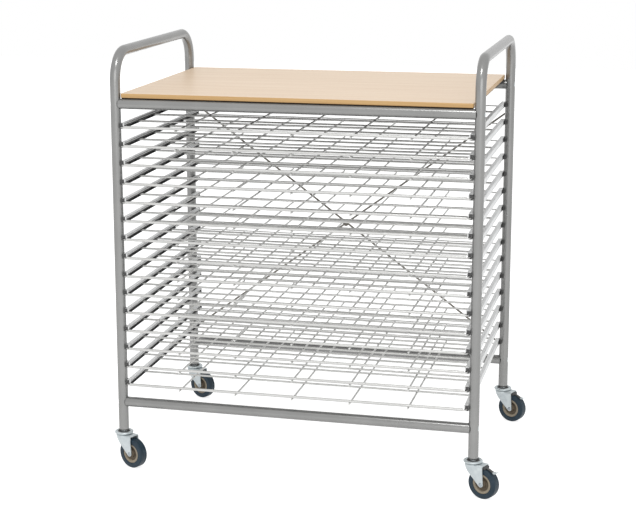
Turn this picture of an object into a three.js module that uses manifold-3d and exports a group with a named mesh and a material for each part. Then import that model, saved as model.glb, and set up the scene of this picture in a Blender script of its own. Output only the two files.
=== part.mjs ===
// Art drying rack on castors: two bent-tube side frames with fifteen pairs of runners, four cross
// rails, a board top, fifteen sliding wire shelves, a crossed rear brace and four swivel castors.
// Millimetres, +Z up, +X to the right, -Y to the front. The origin is on the floor, midway
// between the four legs.
import Module from 'manifold-3d';
import * as THREE from 'three';
import { mergeVertices } from 'three/addons/utils/BufferGeometryUtils.js';

// Tube frame
const LEG_SPAN_X = 890; // between leg centres, left to right
const LEG_SPAN_Y = 590; // between leg centres, front to rear
const TUBE_RADIUS = 12.7; // one inch tube
const TUBE_WALL = 1.5;
const HANDLE_Z = 1050; // centreline of the handle bar
const HANDLE_BEND_RADIUS = 70;
const LEG_BOTTOM_Z = 96;
const TOP_RAIL_Z = 926;
const BOTTOM_RAIL_Z = 168;
const RAIL_SETBACK = 8; // from the legs' axes to the ends of the rails
const TUBE_SIDES = 12;
const BORE_SIDES = 6;
const BEND_STEPS = 4;

// Board top
const BOARD_LENGTH = 860;
const BOARD_DEPTH = 600;
const BOARD_THICKNESS = 13;
const BOARD_CORNER = 3;

// Runners, each with its moulded ends
const SHELF_COUNT = 15;
const TOP_RUNNER_Z = 874;
const SHELF_PITCH = 46.6;
const RUNNER_INNER_X = 421.5; // face of the lip
const RUNNER_WEB = 2.2;
const RUNNER_WALL = 1.5;
const RUNNER_TOP = 5.5; // heights above and below the runner's own centre
const RUNNER_BOTTOM = -8;
const RUNNER_LIP_BOTTOM = -0.5;
const RUNNER_ROOF = 2; // top of the channel's inside
const RUNNER_SHOULDER = 3.5; // bevel along the rounded top
const RUNNER_FRONT_Y = -303;
const RUNNER_REAR_Y = 299;
const RUNNER_STOP_Y = 283; // the slot is closed behind this

// Wire shelves: hexagonal wires, given by their height across the flats
const SHELF_WIRE_Z = -4; // level of the side wires below the runner's centre
const SHELF_FRONT_Y = -311;
const SHELF_REAR_Y = 280;
const FRONT_WIRE_HEIGHT = 6;
const REAR_WIRE_HEIGHT = 4.5;
const SIDE_WIRE_HEIGHT = 4.25;
const CROSS_WIRE_HEIGHT = 3.75;
const LENGTH_WIRE_HEIGHT = 3.5;
const CROSS_WIRE_COUNT = 4; // between the front and the rear wire
const LENGTH_WIRES_EACH_SIDE = 2; // to each side of the middle one
const LENGTH_WIRE_SPACING = 144;
const SIDE_WIRE_X = 424.5;
const FRONT_WIRE_HALF_LENGTH = 428;
const REAR_WIRE_HALF_LENGTH = 427.5;
const WIRE_OVERHANG = 6; // how far the lengthwise wires reach past the front wire's centre
const REAR_OVERHANG = 2.5;
const CROSS_WIRE_LIFT = 0.1; // the cross wires lie this far above the lengthwise ones

// Rear brace
const BRACE_RADIUS = 2.5;
const BRACE_SIDES = 6;
const BRACE_REAR_Y = 310.6; // centreline of the rod behind the legs
const BRACE_FRONT_Y = 304.6; // centreline of the joggled rod between the legs
const BRACE_TOP_Z = 856;
const BRACE_BOTTOM_Z = 200;
const BRACE_JOGGLE_START_X = 428;
const BRACE_JOGGLE_END_X = 408;
const CLAMP_RADIUS = 8;
const CLAMP_Y = [299, 315];

// Castors, about the swivel axis, with the wheel trailing along the castor's own +X
const CASTOR_TURN = THREE.MathUtils.degToRad(-24);
const CASTOR_TRAIL = 31;
const WHEEL_RADIUS = 37.5;
const TYRE_HALF_WIDTH = 11.5;
const TYRE_SHOULDER = 4;
const TYRE_BORE_RADIUS = 25;
const TYRE_SIDES = 16;
const RIM_RADIUS = 24.2;
const RIM_LIP_HALF_WIDTH = 10.5;
const RIM_WEB_HALF_WIDTH = 5;
const RIM_HUB_HALF_WIDTH = 12.2;
const RIM_BORE_RADIUS = 4.7;
const AXLE_RADIUS = 4;
const AXLE_HEAD_RADIUS = 6;
const AXLE_HEAD_THICKNESS = 2;
const FORK_HALF_WIDTH = 16;
const FORK_WALL = 2.5;
const FORK_TOP_Z = 84;
const FORK_BEND = 4;
const FORK_REAR_X = 34; // rear edge of the top plate
const FORK_SKIRT = 9; // height of the round front
const FORK_TIP_RADIUS = 6.5; // round lower ends about the axle
const FORK_HOLE_RADIUS = 4.6;
const FORK_ROUND_STEPS = 5;
const KING_PIN_RADIUS = 5;
const KING_PIN_HOLE_RADIUS = 6;
const RACE_RADIUS = 23.5;
const RACE_BOTTOM_Z = 84.6;
const RACE_RIM_Z = 88;
const RACE_TOP_Z = 91;
const STEM_TOP_Z = 122;
const CASTOR_SIDES = 12;
const PIN_SIDES = 6;

// Foot brake of the right-hand castors
const PEDAL_PIVOT_X = 33;
const PEDAL_PIVOT_Z = 79.3;
const PEDAL_BARREL_RADIUS = 2;
const PEDAL_BARREL_HALF_LENGTH = 13.1;
const PEDAL_HALF_WIDTH = 9;
const PEDAL_THICKNESS = 2;
const PEDAL_PATH = [[33, 79.5], [46, 77.2], [58.5, 72.2], [63, 71], [71, 74.6]]; // from the pivot to the tip

// Plugs in the feet of the legs
const PLUG_FLANGE_RADIUS = 12.5;
const PLUG_FLANGE_BOTTOM_Z = 92.6;
const PLUG_BODY_RADIUS = 10.8;
const PLUG_TOP_Z = 124;
const PLUG_BORE_RADIUS = 5.9;

const GAP = 0.3; // clearance between pieces that touch
const HALF_X = LEG_SPAN_X / 2;
const HALF_Y = LEG_SPAN_Y / 2;
const TUBE_FLAT = TUBE_RADIUS * Math.cos(Math.PI / TUBE_SIDES); // from the tube's axis to its flats
const RUNNER_OUTER_X = HALF_X - TUBE_FLAT; // the runners' webs lie flat against the legs

const wasm = await Module();
wasm.setup();

// Finishes, one fresh material for each piece
const finishes = {
  silverCoat: { color: 0x8f9394, roughness: 0.42, metalness: 0.55 },
  wireCoat: { color: 0xc9cccc, roughness: 0.4, metalness: 0.45 },
  beech: { color: 0xdcb98a, roughness: 0.55, metalness: 0 },
  zinc: { color: 0xc8cfd0, roughness: 0.3, metalness: 0.85 },
  tyre: { color: 0x324150, roughness: 0.7, metalness: 0 },
  rim: { color: 0x8f8170, roughness: 0.6, metalness: 0 },
  blackPlastic: { color: 0x151515, roughness: 0.55, metalness: 0 },
};

function piece(name, geometry, finish) {
  const mesh = new THREE.Mesh(geometry, new THREE.MeshStandardMaterial(finishes[finish]));
  mesh.name = name;
  return mesh;
}

// Closed three.js geometry as a solid that can be joined and cut
function toSolid(geometry) {
  const bare = new THREE.BufferGeometry();
  bare.setAttribute('position', geometry.getAttribute('position').clone());
  bare.setIndex(geometry.getIndex());
  const merged = mergeVertices(bare, 1e-4);
  const corners = Array.from(merged.getIndex().array);
  const triangles = [];
  for (let i = 0; i < corners.length; i += 3) {
    const [a, b, c] = corners.slice(i, i + 3);
    if (a !== b && b !== c && c !== a) {
      triangles.push(a, b, c);
    }
  }
  return new wasm.Manifold(
    new wasm.Mesh({
      numProp: 3,
      vertProperties: Float32Array.from(merged.getAttribute('position').array),
      triVerts: Uint32Array.from(triangles),
    }),
  );
}

function toGeometry(solid) {
  const mesh = solid.getMesh();
  const geometry = new THREE.BufferGeometry();
  const positions = Float32Array.from(mesh.vertProperties);
  geometry.setAttribute('position', new THREE.BufferAttribute(positions, mesh.numProp));
  geometry.setIndex(new THREE.BufferAttribute(Uint32Array.from(mesh.triVerts), 1));
  geometry.computeVertexNormals();
  return geometry;
}

function join(solids) {
  return solids.reduce((whole, next) => whole.add(next));
}

// Mirror image across the plane X = 0, with its faces still pointing out
function mirrorX(geometry) {
  const copy = geometry.clone();
  copy.scale(-1, 1, 1);
  const index = copy.getIndex();
  for (let i = 0; i < index.count; i += 3) {
    const second = index.getX(i + 1);
    index.setX(i + 1, index.getX(i + 2));
    index.setX(i + 2, second);
  }
  return copy;
}

// Solid turned about the Z axis; the profile runs from the foot outwards and up
function turned(profile, sides) {
  const points = profile.map(([radius, height]) => new THREE.Vector2(radius, height));
  const geometry = new THREE.LatheGeometry(points, sides);
  geometry.rotateX(Math.PI / 2);
  return toSolid(geometry);
}

// Solid turned about the Y axis, with a flat of the polygon at the top and the bottom
function turnedAboutY(profile, sides) {
  const points = profile.map(([radius, height]) => new THREE.Vector2(radius, height));
  const geometry = new THREE.LatheGeometry(points, sides);
  geometry.rotateY(Math.PI / sides);
  return toSolid(geometry);
}

// Outline drawn in X and Z, swept along Y from near to far
function sweptAlongY(outline, near, far, curveSegments = 1) {
  const options = { depth: far - near, bevelEnabled: false, curveSegments };
  const geometry = new THREE.ExtrudeGeometry(outline, options);
  geometry.rotateX(Math.PI / 2);
  geometry.translate(0, far, 0);
  return toSolid(geometry);
}

function polygon(points) {
  return new THREE.Shape(points.map(([x, y]) => new THREE.Vector2(x, y)));
}

// Regular polygon with a flat facing each way along the outline's own axes
function roundSection(radius, sides) {
  const points = [];
  for (let i = 0; i < sides; i += 1) {
    const angle = ((i + 0.5) * 2 * Math.PI) / sides;
    points.push([radius * Math.cos(angle), radius * Math.sin(angle)]);
  }
  return polygon(points);
}

function tubeSection() {
  const section = roundSection(TUBE_RADIUS, TUBE_SIDES);
  section.holes.push(roundSection(TUBE_RADIUS - TUBE_WALL, BORE_SIDES));
  return section;
}

// Path that takes its sweep steps at chosen stations, so that a straight stretch is one step
class StationPath extends THREE.Curve {
  constructor(stations) {
    super();
    this.stations = stations;
  }

  station(u) {
    return this.stations[Math.round(u * (this.stations.length - 1))];
  }

  getPointAt(u, target = new THREE.Vector3()) {
    return target.copy(this.station(u).point);
  }

  getTangentAt(u, target = new THREE.Vector3()) {
    return target.copy(this.station(u).tangent);
  }
}

function sweptAlongStations(section, stations) {
  const options = { steps: stations.length - 1, extrudePath: new StationPath(stations) };
  return toSolid(new THREE.ExtrudeGeometry(section, options));
}

// Centreline of one side hoop: up the front leg, over the handle bar and down the rear leg
function hoopStations() {
  const bendZ = HANDLE_Z - HANDLE_BEND_RADIUS;
  const bendY = HALF_Y - HANDLE_BEND_RADIUS;
  const stations = [];
  const addStation = (y, z, angle) => {
    const tangent = new THREE.Vector3(0, Math.sin(angle), Math.cos(angle));
    stations.push({ point: new THREE.Vector3(HALF_X, y, z), tangent });
  };
  addStation(-HALF_Y, LEG_BOTTOM_Z, 0);
  for (const side of [-1, 1]) {
    for (let step = 0; step <= BEND_STEPS; step += 1) {
      const turn = (step / BEND_STEPS) * (Math.PI / 2);
      const angle = side < 0 ? turn : turn + Math.PI / 2;
      const y = side * bendY - HANDLE_BEND_RADIUS * Math.cos(angle);
      const z = bendZ + HANDLE_BEND_RADIUS * Math.sin(angle);
      addStation(y, z, angle);
    }
  }
  addStation(HALF_Y, LEG_BOTTOM_Z, Math.PI);
  return stations;
}

// Lipped channel, open towards the middle of the rack below its lip
function runnerOutline(z) {
  const roofZ = z + RUNNER_ROOF;
  const floorZ = z + RUNNER_BOTTOM + RUNNER_WALL;
  const lipZ = z + RUNNER_LIP_BOTTOM;
  return polygon([
    ...runnerEnvelope(z),
    [RUNNER_INNER_X, floorZ],
    [RUNNER_OUTER_X - RUNNER_WEB, floorZ],
    [RUNNER_OUTER_X - RUNNER_WEB, roofZ],
    [RUNNER_INNER_X + RUNNER_WALL, roofZ],
    [RUNNER_INNER_X + RUNNER_WALL, lipZ],
    [RUNNER_INNER_X, lipZ],
  ]);
}

// Outside of a runner with bevelled shoulders, from the inner shoulder round to the inner foot
function runnerEnvelope(z) {
  return [
    [RUNNER_INNER_X, z + RUNNER_TOP - RUNNER_SHOULDER],
    [RUNNER_INNER_X + RUNNER_SHOULDER, z + RUNNER_TOP],
    [RUNNER_OUTER_X - RUNNER_SHOULDER, z + RUNNER_TOP],
    [RUNNER_OUTER_X, z + RUNNER_TOP - RUNNER_SHOULDER],
    [RUNNER_OUTER_X, z + RUNNER_BOTTOM],
    [RUNNER_INNER_X, z + RUNNER_BOTTOM],
  ];
}

// One runner: open at the front, so that its shelf slides out, and closed at the rear as a stop
function runner(z) {
  const channel = sweptAlongY(runnerOutline(z), RUNNER_FRONT_Y, RUNNER_REAR_Y);
  const stop = sweptAlongY(polygon(runnerEnvelope(z)), RUNNER_STOP_Y, RUNNER_REAR_Y);
  return channel.add(stop);
}

function runnerHeights() {
  return Array.from({ length: SHELF_COUNT }, (_, level) => TOP_RUNNER_Z - level * SHELF_PITCH);
}

// Right-hand hoop with the runners that it carries
function sideFrameGeometry() {
  const hoop = sweptAlongStations(tubeSection(), hoopStations());
  return toGeometry(join([hoop, ...runnerHeights().map(runner)]));
}

// Cross rail with its blunt ends coped to the round legs
function railGeometry() {
  const length = LEG_SPAN_X - 2 * RAIL_SETBACK;
  const options = { depth: length, bevelEnabled: false };
  const bar = new THREE.ExtrudeGeometry(tubeSection(), options);
  bar.translate(0, 0, -length / 2);
  bar.rotateY(Math.PI / 2);
  const leg = { depth: 4 * TUBE_RADIUS, bevelEnabled: false };
  const cope = new THREE.ExtrudeGeometry(roundSection(TUBE_RADIUS + GAP, TUBE_SIDES), leg);
  cope.translate(HALF_X, 0, -2 * TUBE_RADIUS);
  const rightCope = toSolid(cope);
  cope.translate(-LEG_SPAN_X, 0, 0);
  return toGeometry(toSolid(bar).subtract(rightCope).subtract(toSolid(cope)));
}

function boardGeometry() {
  const x = BOARD_LENGTH / 2;
  const y = BOARD_DEPTH / 2;
  const outline = new THREE.Shape();
  outline.moveTo(-x + BOARD_CORNER, -y);
  outline.lineTo(x - BOARD_CORNER, -y);
  outline.absarc(x - BOARD_CORNER, -y + BOARD_CORNER, BOARD_CORNER, -Math.PI / 2, 0, false);
  outline.lineTo(x, y - BOARD_CORNER);
  outline.absarc(x - BOARD_CORNER, y - BOARD_CORNER, BOARD_CORNER, 0, Math.PI / 2, false);
  outline.lineTo(-x + BOARD_CORNER, y);
  outline.absarc(-x + BOARD_CORNER, y - BOARD_CORNER, BOARD_CORNER, Math.PI / 2, Math.PI, false);
  outline.lineTo(-x, -y + BOARD_CORNER);
  outline.absarc(-x + BOARD_CORNER, -y + BOARD_CORNER, BOARD_CORNER, Math.PI, 1.5 * Math.PI, false);
  const options = { depth: BOARD_THICKNESS, bevelEnabled: false, curveSegments: 1 };
  return toGeometry(toSolid(new THREE.ExtrudeGeometry(outline, options)));
}

// Hexagon with a flat above and below, as high as given
function wireSection(height) {
  const half = height / 2;
  const flat = half * Math.tan(Math.PI / 6);
  return polygon([
    [2 * flat, 0],
    [flat, half],
    [-flat, half],
    [-2 * flat, 0],
    [-flat, -half],
    [flat, -half],
  ]);
}

function wireAlongY(height, fromY, toY, x, z) {
  const wire = toGeometry(sweptAlongY(wireSection(height), fromY, toY));
  wire.translate(x, 0, z);
  return toSolid(wire);
}

function wireAlongX(height, halfLength, y, z) {
  const wire = toGeometry(sweptAlongY(wireSection(height), -halfLength, halfLength));
  wire.rotateZ(Math.PI / 2);
  wire.translate(0, y, z);
  return toSolid(wire);
}

// One wire shelf about the level of its rear wire. The lengthwise wires are welded under the
// front and rear wires, which both stand on one plane, and the cross wires between the side wires.
function shelfGeometry() {
  const weldZ = -REAR_WIRE_HEIGHT / 2;
  const frontZ = weldZ + FRONT_WIRE_HEIGHT / 2;
  const crossZ = weldZ + CROSS_WIRE_LIFT + CROSS_WIRE_HEIGHT / 2;
  const lengthZ = weldZ - LENGTH_WIRE_HEIGHT / 2;
  const wires = [
    wireAlongX(FRONT_WIRE_HEIGHT, FRONT_WIRE_HALF_LENGTH, SHELF_FRONT_Y, frontZ),
    wireAlongX(REAR_WIRE_HEIGHT, REAR_WIRE_HALF_LENGTH, SHELF_REAR_Y, 0),
  ];
  for (const side of [-1, 1]) {
    const x = side * SIDE_WIRE_X;
    wires.push(wireAlongY(SIDE_WIRE_HEIGHT, SHELF_FRONT_Y, SHELF_REAR_Y, x, CROSS_WIRE_LIFT));
  }
  const spacing = (SHELF_REAR_Y - SHELF_FRONT_Y) / (CROSS_WIRE_COUNT + 1);
  for (let row = 1; row <= CROSS_WIRE_COUNT; row += 1) {
    wires.push(wireAlongX(CROSS_WIRE_HEIGHT, SIDE_WIRE_X, SHELF_FRONT_Y + row * spacing, crossZ));
  }
  const front = SHELF_FRONT_Y - WIRE_OVERHANG;
  const rear = SHELF_REAR_Y + REAR_OVERHANG;
  for (let column = -LENGTH_WIRES_EACH_SIDE; column <= LENGTH_WIRES_EACH_SIDE; column += 1) {
    const x = column * LENGTH_WIRE_SPACING;
    wires.push(wireAlongY(LENGTH_WIRE_HEIGHT, front, rear, x, lengthZ));
  }
  return toGeometry(join(wires));
}

// Stations of a rod through given points, with its bends halved between the stretches
function rodStations(points) {
  return points.map((point, i) => {
    const before = points[Math.max(i - 1, 0)];
    const after = points[Math.min(i + 1, points.length - 1)];
    return { point, tangent: after.clone().sub(before).normalize() };
  });
}

// Height of the straight rod, which falls from the left leg to the right one
function braceZ(x) {
  return BRACE_BOTTOM_Z + ((HALF_X - x) / LEG_SPAN_X) * (BRACE_TOP_Z - BRACE_BOTTOM_Z);
}

function straightBraceStations() {
  const ends = [-HALF_X, HALF_X];
  return rodStations(ends.map((x) => new THREE.Vector3(x, BRACE_REAR_Y, braceZ(x))));
}

// The second rod is joggled forward between the legs, so that it passes the first one
function joggledBraceStations() {
  const points = [
    [-HALF_X, BRACE_REAR_Y],
    [-BRACE_JOGGLE_START_X, BRACE_REAR_Y],
    [-BRACE_JOGGLE_END_X, BRACE_FRONT_Y],
    [BRACE_JOGGLE_END_X, BRACE_FRONT_Y],
    [BRACE_JOGGLE_START_X, BRACE_REAR_Y],
    [HALF_X, BRACE_REAR_Y],
  ];
  return rodStations(points.map(([x, y]) => new THREE.Vector3(x, y, braceZ(-x))));
}

function braceRodSolid(stations, clearance) {
  return sweptAlongStations(roundSection(BRACE_RADIUS + clearance, BRACE_SIDES), stations);
}

// Round clamp with a channel for each of the two rods
function braceClampGeometry() {
  const [near, far] = CLAMP_Y;
  const block = turnedAboutY([[0, near], [CLAMP_RADIUS, near], [CLAMP_RADIUS, far], [0, far]], PIN_SIDES);
  const middle = toGeometry(block);
  middle.translate(0, 0, (BRACE_TOP_Z + BRACE_BOTTOM_Z) / 2);
  return toGeometry(
    toSolid(middle)
      .subtract(braceRodSolid(straightBraceStations(), GAP))
      .subtract(braceRodSolid(joggledBraceStations(), GAP)),
  );
}

// Plug that closes the foot of a leg and grips the castor's stem
function plugGeometry() {
  const profile = [
    [PLUG_BORE_RADIUS, PLUG_FLANGE_BOTTOM_Z],
    [PLUG_FLANGE_RADIUS, PLUG_FLANGE_BOTTOM_Z],
    [PLUG_FLANGE_RADIUS, LEG_BOTTOM_Z - GAP],
    [PLUG_BODY_RADIUS, LEG_BOTTOM_Z - GAP],
    [PLUG_BODY_RADIUS, PLUG_TOP_Z],
    [PLUG_BORE_RADIUS, PLUG_TOP_Z],
    [PLUG_BORE_RADIUS, PLUG_FLANGE_BOTTOM_Z],
  ];
  const plug = toGeometry(turned(profile, BORE_SIDES));
  plug.rotateZ(Math.PI / BORE_SIDES);
  return plug;
}

// Swivel head: the stem, the dished ball race and the king pin riveted under the fork
function swivelHeadGeometry() {
  const rivetTop = FORK_TOP_Z - FORK_WALL - GAP;
  const rivetBottom = rivetTop - FORK_WALL;
  const rivetRadius = KING_PIN_RADIUS + 3;
  const profile = [
    [0, rivetBottom],
    [rivetRadius, rivetBottom],
    [rivetRadius, rivetTop],
    [KING_PIN_RADIUS, rivetTop],
    [KING_PIN_RADIUS, RACE_BOTTOM_Z],
    [RACE_RADIUS, RACE_BOTTOM_Z],
    [RACE_RADIUS, RACE_RIM_Z],
    [RACE_RADIUS - 3, RACE_TOP_Z],
    [KING_PIN_RADIUS, RACE_RIM_Z],
    [KING_PIN_RADIUS, STEM_TOP_Z],
    [0, STEM_TOP_Z],
  ];
  return toGeometry(turned(profile, CASTOR_SIDES));
}

// Outline of the fork from the side: wide under the race, round about the axle
function forkSideOutline() {
  const corner = new THREE.Vector2(-FORK_HALF_WIDTH, FORK_TOP_Z - FORK_SKIRT);
  const axle = new THREE.Vector2(CASTOR_TRAIL, WHEEL_RADIUS);
  const toCorner = corner.clone().sub(axle);
  const tangentAngle = toCorner.angle() + Math.acos(FORK_TIP_RADIUS / toCorner.length());
  const aboveTop = FORK_TOP_Z + FORK_WALL;
  const outline = new THREE.Shape();
  outline.moveTo(corner.x - FORK_WALL, aboveTop);
  outline.lineTo(corner.x - FORK_WALL, corner.y);
  outline.lineTo(corner.x, corner.y);
  outline.absarc(axle.x, axle.y, FORK_TIP_RADIUS, tangentAngle, 2 * Math.PI, false);
  outline.lineTo(FORK_REAR_X, aboveTop);
  outline.closePath();
  return outline;
}

// Outline of the fork from above: round in front about the swivel axis, with straight sides
function forkPlan(halfWidth) {
  const plan = new THREE.Shape();
  plan.moveTo(2 * WHEEL_RADIUS, halfWidth);
  plan.lineTo(0, halfWidth);
  plan.absarc(0, 0, halfWidth, Math.PI / 2, 1.5 * Math.PI, false);
  plan.lineTo(2 * WHEEL_RADIUS, -halfWidth);
  plan.closePath();
  return plan;
}

// Pressed fork: a shell with a bevelled top, cut to the side outline, with its two holes
function forkGeometry() {
  const bevelled = new THREE.ExtrudeGeometry(forkPlan(FORK_HALF_WIDTH), {
    depth: FORK_TOP_Z - 2 * FORK_BEND,
    curveSegments: FORK_ROUND_STEPS,
    bevelSize: FORK_BEND,
    bevelThickness: FORK_BEND,
    bevelOffset: -FORK_BEND,
    bevelSegments: 1,
  });
  bevelled.translate(0, 0, FORK_BEND);
  const hollow = new THREE.ExtrudeGeometry(forkPlan(FORK_HALF_WIDTH - FORK_WALL), {
    depth: FORK_TOP_Z - FORK_WALL,
    curveSegments: FORK_ROUND_STEPS,
    bevelEnabled: false,
  });
  const side = sweptAlongY(forkSideOutline(), -2 * FORK_HALF_WIDTH, 2 * FORK_HALF_WIDTH, 2);
  const pinHole = turned(
    [[0, 0], [KING_PIN_HOLE_RADIUS, 0], [KING_PIN_HOLE_RADIUS, RACE_TOP_Z], [0, RACE_TOP_Z]],
    CASTOR_SIDES,
  );
  const width = 2 * FORK_HALF_WIDTH;
  const axleHole = toGeometry(
    turnedAboutY(
      [[0, -width], [FORK_HOLE_RADIUS, -width], [FORK_HOLE_RADIUS, width], [0, width]],
      PIN_SIDES,
    ),
  );
  axleHole.translate(CASTOR_TRAIL, 0, WHEEL_RADIUS);
  return toGeometry(
    toSolid(bevelled)
      .subtract(toSolid(hollow))
      .intersect(side)
      .subtract(pinHole)
      .subtract(toSolid(axleHole)),
  );
}

// Tyre, rim and axle are centred on the wheel's own axle, which lies along Y
function tyreGeometry() {
  const tread = WHEEL_RADIUS / Math.cos(Math.PI / TYRE_SIDES);
  const profile = [
    [TYRE_BORE_RADIUS, -TYRE_HALF_WIDTH],
    [tread - TYRE_SHOULDER, -TYRE_HALF_WIDTH],
    [tread, TYRE_SHOULDER - TYRE_HALF_WIDTH],
    [tread, TYRE_HALF_WIDTH - TYRE_SHOULDER],
    [tread - TYRE_SHOULDER, TYRE_HALF_WIDTH],
    [TYRE_BORE_RADIUS, TYRE_HALF_WIDTH],
    [TYRE_BORE_RADIUS, -TYRE_HALF_WIDTH],
  ];
  return toGeometry(turnedAboutY(profile, TYRE_SIDES));
}

function rimGeometry() {
  const dishRadius = RIM_RADIUS - 4;
  const profile = [
    [RIM_BORE_RADIUS, -RIM_HUB_HALF_WIDTH],
    [dishRadius, -RIM_WEB_HALF_WIDTH],
    [RIM_RADIUS, -RIM_LIP_HALF_WIDTH],
    [RIM_RADIUS, RIM_LIP_HALF_WIDTH],
    [dishRadius, RIM_WEB_HALF_WIDTH],
    [RIM_BORE_RADIUS, RIM_HUB_HALF_WIDTH],
    [RIM_BORE_RADIUS, -RIM_HUB_HALF_WIDTH],
  ];
  return toGeometry(turnedAboutY(profile, CASTOR_SIDES));
}

function axleGeometry() {
  const grip = FORK_HALF_WIDTH + GAP;
  const end = grip + AXLE_HEAD_THICKNESS;
  const profile = [
    [0, -end],
    [AXLE_HEAD_RADIUS, -end],
    [AXLE_HEAD_RADIUS, -grip],
    [AXLE_RADIUS, -grip],
    [AXLE_RADIUS, grip],
    [AXLE_HEAD_RADIUS, grip],
    [AXLE_HEAD_RADIUS, end],
    [0, end],
  ];
  return toGeometry(turnedAboutY(profile, PIN_SIDES));
}

// Outline of a bent plate of even thickness, along a path in X and Z
function plateOutline(path, thickness) {
  const points = path.map(([x, z]) => new THREE.Vector2(x, z));
  const above = [];
  const below = [];
  points.forEach((point, i) => {
    const before = points[Math.max(i - 1, 0)];
    const after = points[Math.min(i + 1, points.length - 1)];
    const along = after.clone().sub(before).normalize();
    const across = new THREE.Vector2(-along.y, along.x).multiplyScalar(thickness / 2);
    above.push(point.clone().add(across));
    below.push(point.clone().sub(across));
  });
  return new THREE.Shape([...above, ...below.reverse()]);
}

// Foot brake: a pressed pedal down to the tread, with a pivot barrel across the fork
function pedalGeometry() {
  const outline = plateOutline(PEDAL_PATH, PEDAL_THICKNESS);
  const plate = sweptAlongY(outline, -PEDAL_HALF_WIDTH, PEDAL_HALF_WIDTH);
  const end = PEDAL_BARREL_HALF_LENGTH;
  const barrel = toGeometry(
    turnedAboutY(
      [[0, -end], [PEDAL_BARREL_RADIUS, -end], [PEDAL_BARREL_RADIUS, end], [0, end]],
      PIN_SIDES,
    ),
  );
  barrel.translate(PEDAL_PIVOT_X, 0, PEDAL_PIVOT_Z);
  return toGeometry(plate.add(toSolid(barrel)));
}

// Frame of the rack
function addFrame(rack) {
  const rightFrame = sideFrameGeometry();
  rack.add(piece('right_side_frame', rightFrame, 'silverCoat'));
  rack.add(piece('left_side_frame', mirrorX(rightFrame), 'silverCoat'));
  const rails = [
    ['front_top_rail', -HALF_Y, TOP_RAIL_Z],
    ['rear_top_rail', HALF_Y, TOP_RAIL_Z],
    ['front_bottom_rail', -HALF_Y, BOTTOM_RAIL_Z],
    ['rear_bottom_rail', HALF_Y, BOTTOM_RAIL_Z],
  ];
  const railShape = railGeometry();
  for (const [name, y, z] of rails) {
    const rail = piece(name, railShape, 'silverCoat');
    rail.position.set(0, y, z);
    rack.add(rail);
  }
  const board = piece('board_top', boardGeometry(), 'beech');
  board.position.z = TOP_RAIL_Z + TUBE_FLAT + GAP;
  rack.add(board);
}

function addShelves(rack) {
  const shelfShape = shelfGeometry();
  runnerHeights().forEach((z, level) => {
    const number = String(level + 1).padStart(2, '0');
    const shelf = piece(`wire_shelf_${number}`, shelfShape, 'wireCoat');
    shelf.position.z = z + SHELF_WIRE_Z;
    rack.add(shelf);
  });
}

function addBrace(rack) {
  const straight = toGeometry(braceRodSolid(straightBraceStations(), 0));
  const joggled = toGeometry(braceRodSolid(joggledBraceStations(), 0));
  rack.add(piece('brace_rod_straight', straight, 'silverCoat'));
  rack.add(piece('brace_rod_joggled', joggled, 'silverCoat'));
  rack.add(piece('brace_clamp', braceClampGeometry(), 'zinc'));
}

function addCastors(rack) {
  const shapes = {
    plug: plugGeometry(),
    head: swivelHeadGeometry(),
    fork: forkGeometry(),
    tyre: tyreGeometry(),
    rim: rimGeometry(),
    axle: axleGeometry(),
    pedal: pedalGeometry(),
  };
  const corners = [
    ['front_left', -HALF_X, -HALF_Y],
    ['front_right', HALF_X, -HALF_Y],
    ['rear_left', -HALF_X, HALF_Y],
    ['rear_right', HALF_X, HALF_Y],
  ];
  for (const [corner, x, y] of corners) {
    const foot = new THREE.Group();
    foot.position.set(x, y, 0);
    foot.add(piece(`${corner}_leg_plug`, shapes.plug, 'blackPlastic'));
    foot.add(piece(`${corner}_swivel_head`, shapes.head, 'zinc'));
    const castor = new THREE.Group();
    castor.rotation.z = CASTOR_TURN;
    castor.add(piece(`${corner}_fork`, shapes.fork, 'zinc'));
    if (x > 0) {
      castor.add(piece(`${corner}_brake_pedal`, shapes.pedal, 'zinc'));
    }
    const wheel = new THREE.Group();
    wheel.position.set(CASTOR_TRAIL, 0, WHEEL_RADIUS);
    wheel.add(piece(`${corner}_tyre`, shapes.tyre, 'tyre'));
    wheel.add(piece(`${corner}_rim`, shapes.rim, 'rim'));
    wheel.add(piece(`${corner}_axle`, shapes.axle, 'zinc'));
    castor.add(wheel);
    foot.add(castor);
    rack.add(foot);
  }
}

const rack = new THREE.Group();
rack.name = 'art_drying_rack';
addFrame(rack);
addShelves(rack);
addBrace(rack);
addCastors(rack);

export default rack;
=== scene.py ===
"""Dressed model of a wheeled drying rack with fifteen sliding wire shelves.

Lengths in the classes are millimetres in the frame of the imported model: +Z points up, the
floor is at zero and the front of the rack looks towards -Y.
"""
import logging
import math
from collections.abc import Callable, Iterable, Sequence
from dataclasses import dataclass, field
from enum import Enum

import bmesh
import bpy
from mathutils import Matrix, Vector


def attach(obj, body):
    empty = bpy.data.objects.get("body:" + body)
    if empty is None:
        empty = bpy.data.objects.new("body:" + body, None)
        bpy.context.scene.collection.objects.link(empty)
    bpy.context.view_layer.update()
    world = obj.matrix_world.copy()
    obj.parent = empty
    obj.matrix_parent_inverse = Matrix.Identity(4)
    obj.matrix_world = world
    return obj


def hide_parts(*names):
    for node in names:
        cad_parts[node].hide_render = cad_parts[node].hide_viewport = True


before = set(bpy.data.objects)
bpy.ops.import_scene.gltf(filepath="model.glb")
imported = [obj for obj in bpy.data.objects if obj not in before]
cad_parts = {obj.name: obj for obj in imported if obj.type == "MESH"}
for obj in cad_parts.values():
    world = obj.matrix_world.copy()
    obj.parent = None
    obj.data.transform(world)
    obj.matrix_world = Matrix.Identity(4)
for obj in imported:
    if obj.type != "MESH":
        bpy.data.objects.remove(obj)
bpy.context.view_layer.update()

LOG = logging.getLogger("drying_rack")
MM = 0.001
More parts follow.
